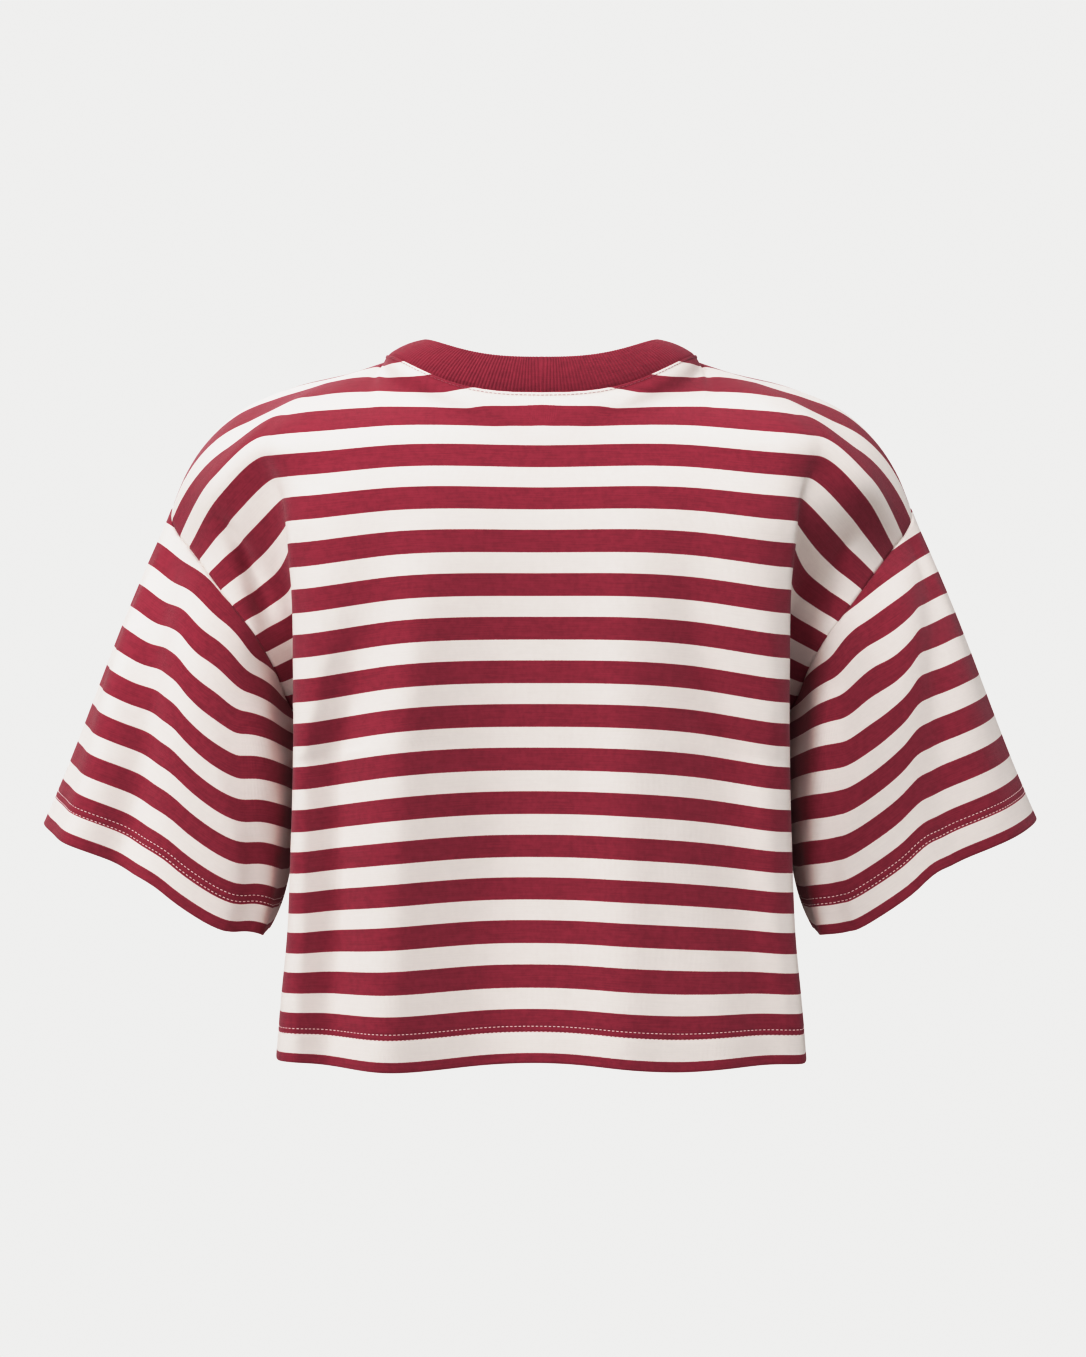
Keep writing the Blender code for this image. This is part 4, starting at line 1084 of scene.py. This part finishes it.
def stitch_row(path, normal, length, radius, closed=False):
    """One stitch of thread for each pitch of a path: a rod with round ends, laid along the path, whose ends
    dip into the cloth. Its radius falls as sqrt(1 - (taper s)^4) and its middle line as lift - dip |s|^3,
    where s runs from -1 to 1 along it. Returns its points and faces."""
    if closed:
        path, normal = wrapped(path), wrapped(normal)
    run = np.concatenate([[0], np.cumsum(np.linalg.norm(np.diff(path, axis=0), axis=1))])
    count = max(int(run[-1] / STITCH_PITCH), 1)
    middle = (np.arange(count) + 0.5) * run[-1] / count
    across = np.linspace(-1, 1, STITCH_RINGS + 2)[1:-1]
    at = middle[:, None] + across * length / 2
    place, out = read_along(at, run, path), unit(read_along(at, run, normal))
    ahead = unit(np.gradient(place, axis=1))
    side = unit(np.cross(ahead, out))
    fat = radius * np.sqrt(1 - (across * STITCH_TAPER) ** 4)
    lift = radius * (STITCH_LIFT - STITCH_DIP * np.abs(across) ** 3)
    centre = place + out * lift[None, :, None]
    turn = np.linspace(0, 2 * np.pi, STITCH_SIDES, endpoint=False)
    ring = np.cos(turn)[:, None] * side[:, :, None] + np.sin(turn)[:, None] * out[:, :, None]
    points = centre[:, :, None] + ring * fat[None, :, None, None]
    ends = ((0, -STITCH_TIP), (-1, STITCH_TIP))
    tips = [centre[:, end] + ahead[:, end] * radius * way for end, way in ends]
    own = np.concatenate([points.reshape(count, -1, 3), np.stack(tips, axis=1)], axis=1)
    index = wrapped(numbered(STITCH_RINGS, STITCH_SIDES), axis=1)
    faces = [cells(index)]
    for line, tip in ((index[0][::-1], own.shape[1] - 2), (index[-1], own.shape[1] - 1)):
        corner = np.full(STITCH_SIDES, tip)
        faces.append(np.stack([line[:-1], line[1:], corner, corner], axis=1))
    starts = np.arange(count) * own.shape[1]
    return own.reshape(-1, 3), (np.concatenate(faces) + starts[:, None, None]).reshape(-1, 4)


def thread_piece(name, rows, material):
    """One mesh from several rows of stitches. The caps' last corner is doubled, so it is dropped here."""
    starts = np.cumsum([0] + [len(points) for points, _ in rows])
    faces = np.concatenate([row_faces + start for (_, row_faces), start in zip(rows, starts)])
    loops = [face[:3] if face[2] == face[3] else face for face in faces.tolist()]
    return add_piece(name, new_mesh(name, np.concatenate([points for points, _ in rows]), loops), material)


def neck_line(back, front):
    """The top rows of both panels along the neckline, as a ring from the middle of the back to the left."""
    middle = len(half_columns()) - 1
    ahead = slice(middle, middle + NECK_STEPS + 1)
    whole = slice(middle - NECK_STEPS, middle + NECK_STEPS + 1)
    home = slice(middle - NECK_STEPS, middle)
    return wrapped(np.concatenate([back[ahead], front[whole][::-1][1:-1], back[home]]))


def neck_turns():
    """Turns, in degrees, of the points of the neckline's ring."""
    across = top_reach(half_columns()[: NECK_STEPS + 1])[0]
    back, front = NECK_TURN * across, 180 - (180 - NECK_TURN) * across[::-1]
    half = np.concatenate([back, front[1:]])
    return np.append(np.concatenate([half, 360 - half[-2:0:-1]]), 360.0)


def band_section(turn):
    """Foot and edge of the neck band, and the outward normal of the neckline, at each turn in degrees."""
    sheets, ends = joined_sheets(), neck_turns()
    foot, normal = (neck_line(*(sheets[name][key][-1] for name in PANELS)) for key in ("points", "normal"))
    low, out = read_along(turn % 360, ends, foot), unit(read_along(turn % 360, ends, normal))
    heights = (BAND_BACK_HEIGHT, BAND_SIDE_HEIGHT, BAND_FRONT_HEIGHT)
    return low, neck_curve(turn, BAND_HALF_WIDTH, BAND_BACK, BAND_FRONT, *heights), out


def even_turns(count):
    """Turns spread evenly along the neckline, and its length."""
    fine = np.linspace(0, 360, FINE_TURNS * 360 + 1)
    run = np.concatenate([[0], np.cumsum(ring_steps(band_section(fine[:-1])[0]))])
    return np.interp(np.arange(count) / count * run[-1], run, fine), run[-1]


def band_profile():
    """Half a section of the band, from its foot over its edge and down inside: share of the height, distance
    above it, distance behind the outer skin, and the share of a rib's relief."""
    radius = BAND_THICK / 2
    rise = np.array(BAND_RISE)
    turn = np.radians(np.linspace(0, 180, BAND_ROUND + 2)[1:-1])
    relief = BAND_EDGE_RELIEF + (1 - BAND_EDGE_RELIEF) * np.abs(np.cos(turn))
    none = 0 * rise
    outer = np.stack([rise, none, none, 1 + none])
    top = np.stack([1 + 0 * turn, np.sin(turn) * radius, (1 - np.cos(turn)) * radius, relief])
    inner = np.stack([rise[::-1], none, BAND_THICK + none, 1 + none])
    return np.concatenate([outer, top, inner], axis=1)


def rib_height(turn, phase):
    """Height of the ribs. A rib is a rounded ridge between narrow valleys: 2 |cos(pi phase)|^0.6 - 1, lower
    where the band is stretched round the sides of the neck."""
    side = np.abs((turn + 180) % 360 - 180)
    stretch = sum(drop * bell((side - middle) / width) for middle, width, drop in RIB_STRETCH)
    return (RIB_HEIGHT / 2) * (2 * np.abs(np.cos(np.pi * phase)) ** RIB_ROUNDNESS - 1) * (1 - stretch)


def band_mesh(name):
    """The ribbed neck band, folded double at its edge: a profile carried round the neckline, bulging
    outwards by 4 s (1 - s) at a share s of its height, and sunk into the seam at its foot."""
    count = RIB_COUNT * RIB_COLUMNS
    turns, around = even_turns(count)
    low, high, foot_out = band_section(turns)
    up = unit(high - low)
    ahead = unit(np.roll(low, -1, axis=0) - np.roll(low, 1, axis=0))
    out = unit(np.cross(ahead, up))
    out = out * np.sign((out * foot_out).sum(axis=1, keepdims=True))
    ribs = rib_height(turns, np.arange(count) / RIB_COLUMNS)
    tall = np.linalg.norm(high - low, axis=1)
    share, above, behind, relief = band_profile()[:, :, None]
    bulge = BAND_BULGE * 4 * share * (1 - share) - BAND_FOOT * bell(share * tall / BAND_FOOT_REACH)
    inward = np.where(behind > BAND_THICK / 2, -1.0, 1.0)
    lift = bulge - behind + inward * ribs * relief
    share, above = share[..., None], above[..., None]
    way = unit(foot_out + (out - foot_out) * smooth(0.0, BAND_TURN, share))
    points = low + (high - low) * share - up * (BAND_THICK / 2) * share + up * above + way * lift[..., None]
    steps = np.linalg.norm(np.diff(points, axis=0), axis=2).mean(axis=1)
    levels = np.concatenate([[0], np.cumsum(steps)])
    index = wrapped(wrapped(numbered(*points.shape[:2]), axis=1))
    along = np.arange(count + 1) / count * around
    uv = np.stack(np.meshgrid(along, np.append(levels, levels[-1] + BAND_THICK)), axis=-1).reshape(-1, 2)
    return solid_mesh(name, points.reshape(-1, 3), cells(index), uv, cells(numbered(*index.shape)))


class Node:
    """An output of a node tree that can be written in sums: each operator adds one Math node."""

    def __init__(self, tree, socket):
        self.tree, self.socket = tree, socket

    def math(self, operation, *values):
        """A Math node of numbers and outputs."""
        return self.tree.node("ShaderNodeMath", {"operation": operation}, dict(enumerate(values)))

    def __add__(self, other):
        return self.math("ADD", self, other)

    def __sub__(self, other):
        return self.math("SUBTRACT", self, other)

    def __rsub__(self, other):
        return self.math("SUBTRACT", other, self)

    def __mul__(self, other):
        return self.math("MULTIPLY", self, other)

    def __truediv__(self, other):
        return self.math("DIVIDE", self, other)

    def __rtruediv__(self, other):
        return self.math("DIVIDE", other, self)

    __radd__, __rmul__ = __add__, __mul__

    def sine(self):
        return self.math("SINE", self)

    def fraction(self):
        return self.math("FRACT", self)

    def size(self):
        return self.math("ABSOLUTE", self)

    def between(self, low, high):
        """0 at low and 1 at high, held there beyond them, with an even S between."""
        values = dict(enumerate((self, low, high, 0.0, 1.0)))
        return self.tree.node("ShaderNodeMapRange", {"interpolation_type": "SMOOTHSTEP"}, values)


class Tree:
    """The node tree of a material or of the world."""

    def __init__(self, owner):
        owner.use_nodes = True
        self.owner, self.nodes, self.links = owner, owner.node_tree.nodes, owner.node_tree.links

    def fill(self, made, sockets, output=0):
        """Links an output to each socket, or sets it to a plain value. Returns an output of the node."""
        for key, value in sockets.items():
            if isinstance(value, Node):
                self.links.new(value.socket, made.inputs[key])
            else:
                made.inputs[key].default_value = value
        return Node(self, made.outputs[output]) if made.outputs else None

    def node(self, kind, settings, sockets, output=0):
        """Every new node: its settings are set first, then its sockets, by name or number."""
        made = self.nodes.new(kind)
        for key, value in settings.items():
            setattr(made, key, value)
        return self.fill(made, sockets, output)

    def finish(self, end, share, first, second):
        """Ends the tree in a mix of two shaders."""
        mixed = self.node("ShaderNodeMixShader", {}, {0: share, 1: first, 2: second})
        self.fill(self.nodes[end], {"Surface": mixed})

    def place(self):
        """Object coordinates."""
        return self.node("ShaderNodeTexCoord", {}, {}, "Object")

    def pattern(self):
        """Distance along and up the cloth, in millimetres."""
        mapped = self.node("ShaderNodeUVMap", {"uv_map": PATTERN_MAP}, {}, "UV")
        return [self.node("ShaderNodeSeparateXYZ", {}, {0: mapped}, axis) * (1 / MM) for axis in ("X", "Y")]

    def noise(self, at, scale, detail=2.0, roughness=0.5):
        """Cloudy noise between 0 and 1."""
        values = {"Vector": at, "Scale": scale, "Detail": detail, "Roughness": roughness}
        return self.node("ShaderNodeTexNoise", {"noise_dimensions": "3D"}, values)

    def vector(self, x, y):
        """A vector from two numbers or outputs."""
        return self.node("ShaderNodeCombineXYZ", {}, {"X": x, "Y": y})

    def mix(self, share, first, second):
        """A mix of two colours, which are a Mix node's inputs 6 and 7 and its output 2."""
        return self.node("ShaderNodeMix", {"data_type": "RGBA"}, {0: share, 6: first, 7: second}, 2)


def wave(level, height):
    """Rows of the knit: a sine that repeats after a height."""
    return (level * (2 * np.pi / height)).sine()


def plain_colour(colour, tone=1.0):
    """A colour, or a darker tone of it, as a socket takes it."""
    return (*(value * tone for value in colour), 1.0)


def fuzz(tree):
    """The finest hairs of the yarn."""
    return tree.noise(tree.place(), FUZZ_SCALE, detail=3.0)


def knit(tree, along, up):
    """The surface of the knit, from 0 to 1: columns of loops that lean to and fro, with a little fuzz."""
    wale = ((along / WALE + wave(up, COURSE) * LOOP_LEAN).fraction() - 0.5).size() * 2.0
    loops, courses, hairs = KNIT_SHARES
    return (1.0 - wale * wale) * loops + (wave(up, COURSE) * 0.5 + 0.5) * courses + fuzz(tree) * hairs


def yarn(tree, along, up, colour, dark):
    """A colour that is a little uneven, as knitted yarn is: streaks along the courses, and soft mottling."""
    streak = tree.noise(tree.vector(along * STREAK[0], up * STREAK[1]), 1.0, detail=3.0)
    mottle = tree.noise(tree.place(), MOTTLE_SCALE, detail=4.0, roughness=0.65)
    share = (streak * 0.5 + mottle * 0.5).between(*MOTTLE_RANGE)
    return tree.mix(share, plain_colour(colour, dark), plain_colour(colour))


def dress(tree, colour, roughness, sheen, height=None, depth=0.0):
    """Finishes a material: its colour, and a bump from a height between 0 and 1 that is depth millimetres."""
    looks = {"Base Color": colour, "Roughness": roughness, "Metallic": 0.0, "Specular IOR Level": SPECULAR}
    looks |= {"Sheen Weight": sheen, "Sheen Roughness": SHEEN_ROUGHNESS}
    if height:
        bump = {"Height": height, "Distance": depth * MM, "Strength": 1.0}
        looks["Normal"] = tree.node("ShaderNodeBump", {}, bump)
    tree.fill(tree.nodes["Principled BSDF"], looks)
    return tree.owner


def striped_jersey(name, settings):
    """Single jersey in even stripes, knitted in: red from 19.9 to 34.5 mm above the hem, and so on."""
    tree = Tree(bpy.data.materials.new(name))
    along, up = tree.pattern()
    ragged = tree.noise(tree.vector(along * RAGGED[0], up * RAGGED[1]), 1.0) - 0.5
    phase = (up + ragged * STRIPE_STRAY - (STRIPE_START + RED_WIDTH / 2 - STRIPE_REPEAT / 2)) / STRIPE_REPEAT
    from_middle = (phase.fraction() - 0.5).size() * STRIPE_REPEAT
    red = from_middle.between(RED_WIDTH / 2 + STRIPE_BLUR, RED_WIDTH / 2 - STRIPE_BLUR)
    cream = yarn(tree, along, up, settings.cream, CREAM_SHADE)
    wine = yarn(tree, along, up, settings.red, RED_SHADE)
    return dress(tree, tree.mix(red, cream, wine), CLOTH_ROUGHNESS, SHEEN, knit(tree, along, up), KNIT_DEPTH)


def red_rib(name, settings):
    """The neck's rib, of the stripe's red yarn."""
    tree = Tree(bpy.data.materials.new(name))
    along, up = tree.pattern()
    colour = yarn(tree, along, up, [value * RIB_TONE for value in settings.red], RED_SHADE)
    course = wave(up, RIB_COURSE) * 0.5 + 0.5
    return dress(tree, colour, CLOTH_ROUGHNESS, SHEEN, course * 0.5 + fuzz(tree) * 0.5, RIB_DEPTH)


def thread(name, settings):
    """Plain thread, of the colour in the setting of its name."""
    tree = Tree(bpy.data.materials.new(name))
    return dress(tree, plain_colour(getattr(settings, name)), THREAD_ROUGHNESS, THREAD_SHEEN)


def material_of(name, make):
    """The named material, made the first time that it is asked for."""
    return bpy.data.materials.get(name) or make(name, bpy.context.scene.crop_top)


def layer():
    """Thickness of one layer of cloth, in millimetres."""
    return bpy.context.scene.crop_top.jersey / MM


def hem_row(outer, normal, height, line, closed=False):
    """A row of stitches at a height above a hem."""
    path, out = rows_at([outer, normal], height, line)
    return stitch_row(path, out, STITCH_LENGTH, STITCH_RADIUS, closed)


def make_panel(name):
    """The back or the front, with the stitching of its hem."""
    outer, inner = panel_skins(name, layer())
    sheet = joined_sheets()[name]
    mesh = shell_mesh(name + "_cloth", outer, inner, sheet["place"], sheet["level"])
    jersey = material_of("striped_jersey", striped_jersey)
    piece = add_piece(name + "_cloth", mesh, jersey, node=name, slot=name + "_knit")
    rows = [hem_row(outer, sheet["normal"], sheet["level"], line) for line in HEM_STITCHES]
    stitches = thread_piece(name + "_hem_stitches", rows, material_of("hem_thread", thread))


def make_sleeve(side):
    """A sleeve, worked out as the left one and mirrored where it is the right one."""
    mirror = (SIDES[side][0], 1, 1)
    name = "sleeve_" + side
    sheet = joined_sheets()[name]
    outer, inner = (skin * mirror for skin in sleeve_skins(side, layer()))
    around, whole = sheet_round(sheet)
    along = np.append(around, whole)[None, :] + np.zeros((len(outer), 1))
    mesh = shell_mesh(name + "_cloth", outer, inner, along, wrapped(sheet["chart"], axis=1), closed=True)
    jersey = material_of("striped_jersey", striped_jersey)
    piece = add_piece(name + "_cloth", mesh, jersey, node=name, slot=name + "_knit")
    rising = [grid[::-1] for grid in (outer, sheet["normal"] * mirror, sheet["above"])]
    rows = [hem_row(*rising, line, closed=True) for line in SLEEVE_STITCHES]
    stitches = thread_piece(name + "_stitches", rows, material_of("hem_thread", thread))


def make_neck():
    """The neck band, and the row of stitches beside its seam."""
    rib = material_of("red_rib", red_rib)
    band = add_piece("neck_band", band_mesh("neck_band"), rib, node="collar", slot="collar_rib")
    lines = []
    for name in PANELS:
        sheet = joined_sheets()[name]
        over = np.abs(sheet["columns"]) <= 1
        grids = [grid[:, over] for grid in (panel_skins(name, layer())[0], sheet["normal"])]
        lines.append(rows_at(grids, -sheet["to_top"][:, over], -NECK_STITCH))
    path, normal = (np.concatenate([back, front[::-1][1:-1]]) for back, front in zip(*lines))
    row = stitch_row(path, normal, STITCH_PITCH, NECK_STITCH_RADIUS, closed=True)
    stitches = thread_piece("neck_stitches", [row], material_of("neck_thread", thread))


def look_at(thing, target):
    """Turns an object so that its -Z axis points at a place."""
    way = Vector(target) - thing.location
    thing.rotation_euler = way.to_track_quat("-Z", "Y").to_euler()


def soft_light(name, place, target, size, power):
    """A square white area light."""
    lamp = bpy.data.lights.new(name, "AREA")
    lamp.size, lamp.energy = size, power
    made = new_object(name, lamp)
    made.location = place
    look_at(made, target)


def floor_material(name, colour):
    """Pale floor that fades out towards its edge, so that it has no horizon."""
    tree = Tree(bpy.data.materials.new(name))
    looks = {"Base Color": plain_colour(colour), "Roughness": FLOOR_ROUGHNESS}
    shader = tree.fill(tree.nodes["Principled BSDF"], looks)
    from_middle = tree.node("ShaderNodeVectorMath", {"operation": "LENGTH"}, {0: tree.place()}, "Value")
    fade = from_middle.between(*(FLOOR_SIZE * share for share in FLOOR_FADE))
    tree.finish("Material Output", fade, shader, tree.node("ShaderNodeBsdfTransparent", {}, {}))
    return tree.owner


def make_floor(settings):
    """A flat disc under the garment."""
    turn = np.linspace(0, 2 * np.pi, FLOOR_SIDES, endpoint=False)
    ring = np.stack([np.cos(turn) * FLOOR_SIZE, np.sin(turn) * FLOOR_SIZE, 0 * turn + FLOOR_HEIGHT], axis=1)
    mesh = new_mesh("studio_floor", ring / MM, [tuple(range(FLOOR_SIDES))])
    mesh.materials.append(floor_material("studio_floor", settings.backdrop))
    new_object("studio_floor", mesh)


def make_world(settings):
    """The backdrop. It lights the garment from all round with only a share of the brightness that is seen."""
    world = bpy.context.scene.world = bpy.data.worlds.new("studio")
    tree = Tree(world)
    colour = plain_colour(settings.backdrop)
    light = tree.fill(tree.nodes["Background"], {"Color": colour, "Strength": AMBIENT})
    seen = tree.node("ShaderNodeBackground", {}, {"Color": colour, "Strength": 1.0})
    tree.finish("World Output", tree.node("ShaderNodeLightPath", {}, {}, "Is Camera Ray"), light, seen)


def make_camera():
    """A camera square behind the garment, with a long lens."""
    lens = bpy.data.cameras.new("camera")
    lens.sensor_fit, lens.sensor_width = "AUTO", SENSOR
    lens.lens = SENSOR * CAMERA_PLACE[1] / (FRAME_PIXELS * PIXEL * MM)
    lens.clip_start, lens.clip_end = CAMERA_CLIP
    lens.dof.use_dof = False
    made = bpy.context.scene.camera = new_object("camera", lens)
    made.location = CAMERA_PLACE
    made.rotation_euler = (np.pi / 2, 0.0, np.pi)


def make_tone():
    """The picture's tones: a little more contrast than plain, held soft at both ends."""
    view = bpy.context.scene.view_settings
    view.view_transform, view.look = "Standard", "None"
    view.exposure, view.gamma = 0.0, 1.0
    view.use_curve_mapping = True
    curve = view.curve_mapping.curves[3]
    for place, value in TONE_POINTS[1:-1]:
        curve.points.new(place, value)
    for point, place in zip(curve.points, TONE_POINTS):
        point.location = place
    view.curve_mapping.update()


def colour_setting(name, description, default):
    """A colour that the panel offers."""
    return FloatVectorProperty(
        name=name, description=description, default=default, min=0.0, max=1.0, size=3, subtype="COLOR"
    )


def power_setting(name, description, default):
    """A light's power, in watts."""
    limits = {"min": 0.0, "max": MOST_POWER}
    return FloatProperty(
        name=name, description=description, default=default, subtype="POWER", unit="POWER", **limits
    )


class CropTopSettings(bpy.types.PropertyGroup):
    """What a user would change in the garment."""

    jersey: FloatProperty(
        name="Cloth",
        description="Thickness of one layer of the jersey",
        default=JERSEY * MM,
        min=0.0005,
        max=0.002,
        subtype="DISTANCE",
        unit="LENGTH",
    )
    red: colour_setting("Dark stripe", "Colour of the dark stripes and the rib", (0.33, 0.046, 0.078))
    cream: colour_setting("Light stripe", "Colour of the light stripes", (0.87, 0.79, 0.75))
    hem_thread: colour_setting("Hem thread", "Colour of the stitching at the hems", (0.92, 0.78, 0.77))
    neck_thread: colour_setting("Neck thread", "Colour of the stitching at the neck", (0.40, 0.16, 0.19))


class CropTopStudio(bpy.types.PropertyGroup):
    """What a user would change in the studio."""

    backdrop: colour_setting("Backdrop", "Colour of the background and the floor", (0.91, 0.906, 0.888))
    key: power_setting("Key light", "Power of the main light", 42.0)
    side: power_setting("Side light", "Power of the light that grazes the folds", 28.0)
    top: power_setting("Top light", "Power of the light above the shoulders", 42.5)
    fill: power_setting("Fill light", "Power of the light that softens the shadows", 14.5)
    front: power_setting("Front light", "Power of the light on the garment's front", 40.0)


class CROPTOP_OT_body(bpy.types.Operator):
    """Build the back and the front, with the stitching of their hem"""

    bl_idname = "croptop.body"
    bl_label = "Body"

    def execute(self, context):
        for name in PANELS:
            make_panel(name)
        return {"FINISHED"}


class CROPTOP_OT_sleeves(bpy.types.Operator):
    """Build both sleeves, with the stitching of their hems"""

    bl_idname = "croptop.sleeves"
    bl_label = "Sleeves"

    def execute(self, context):
        for side in SIDES:
            make_sleeve(side)
        return {"FINISHED"}


class CROPTOP_OT_neck(bpy.types.Operator):
    """Build the ribbed neck band, with the stitching beside its seam"""

    bl_idname = "croptop.neck"
    bl_label = "Neck"

    def execute(self, context):
        make_neck()
        return {"FINISHED"}


class CROPTOP_OT_studio(bpy.types.Operator):
    """Set up the floor, the lights, the camera and the picture's tones"""

    bl_idname = "croptop.studio"
    bl_label = "Studio"

    def execute(self, context):
        settings = context.scene.crop_top_studio
        make_world(settings)
        make_floor(settings)
        for name, light in LIGHTS.items():
            soft_light(name + "_light", *light, getattr(settings, name))
        make_camera()
        make_tone()
        return {"FINISHED"}


class CROPTOP_PT_panel(bpy.types.Panel):
    """Sizes, colours and steps of the crop top"""

    bl_label = "Crop Top"
    bl_idname = "CROPTOP_PT_panel"
    bl_space_type = "VIEW_3D"
    bl_region_type = "UI"
    bl_category = "Crop Top"

    def draw(self, context):
        layout = self.layout
        for group in (context.scene.crop_top, context.scene.crop_top_studio):
            for key in group.bl_rna.properties.keys():
                if key not in ("name", "rna_type"):
                    layout.prop(group, key)
        for step in STEPS:
            layout.operator(step.bl_idname)


STEPS = (CROPTOP_OT_body, CROPTOP_OT_sleeves, CROPTOP_OT_neck, CROPTOP_OT_studio)
CLASSES = (CropTopSettings, CropTopStudio, *STEPS, CROPTOP_PT_panel)


def register():
    for kind in CLASSES:
        bpy.utils.register_class(kind)
    bpy.types.Scene.crop_top = PointerProperty(type=CropTopSettings)
    bpy.types.Scene.crop_top_studio = PointerProperty(type=CropTopStudio)


def unregister():
    del bpy.types.Scene.crop_top_studio
    del bpy.types.Scene.crop_top
    for kind in reversed(CLASSES):
        bpy.utils.unregister_class(kind)


def main():
    register()
    bpy.ops.croptop.body()
    bpy.ops.croptop.sleeves()
    bpy.ops.croptop.neck()
    bpy.ops.croptop.studio()


if __name__ == "__main__":
    main()
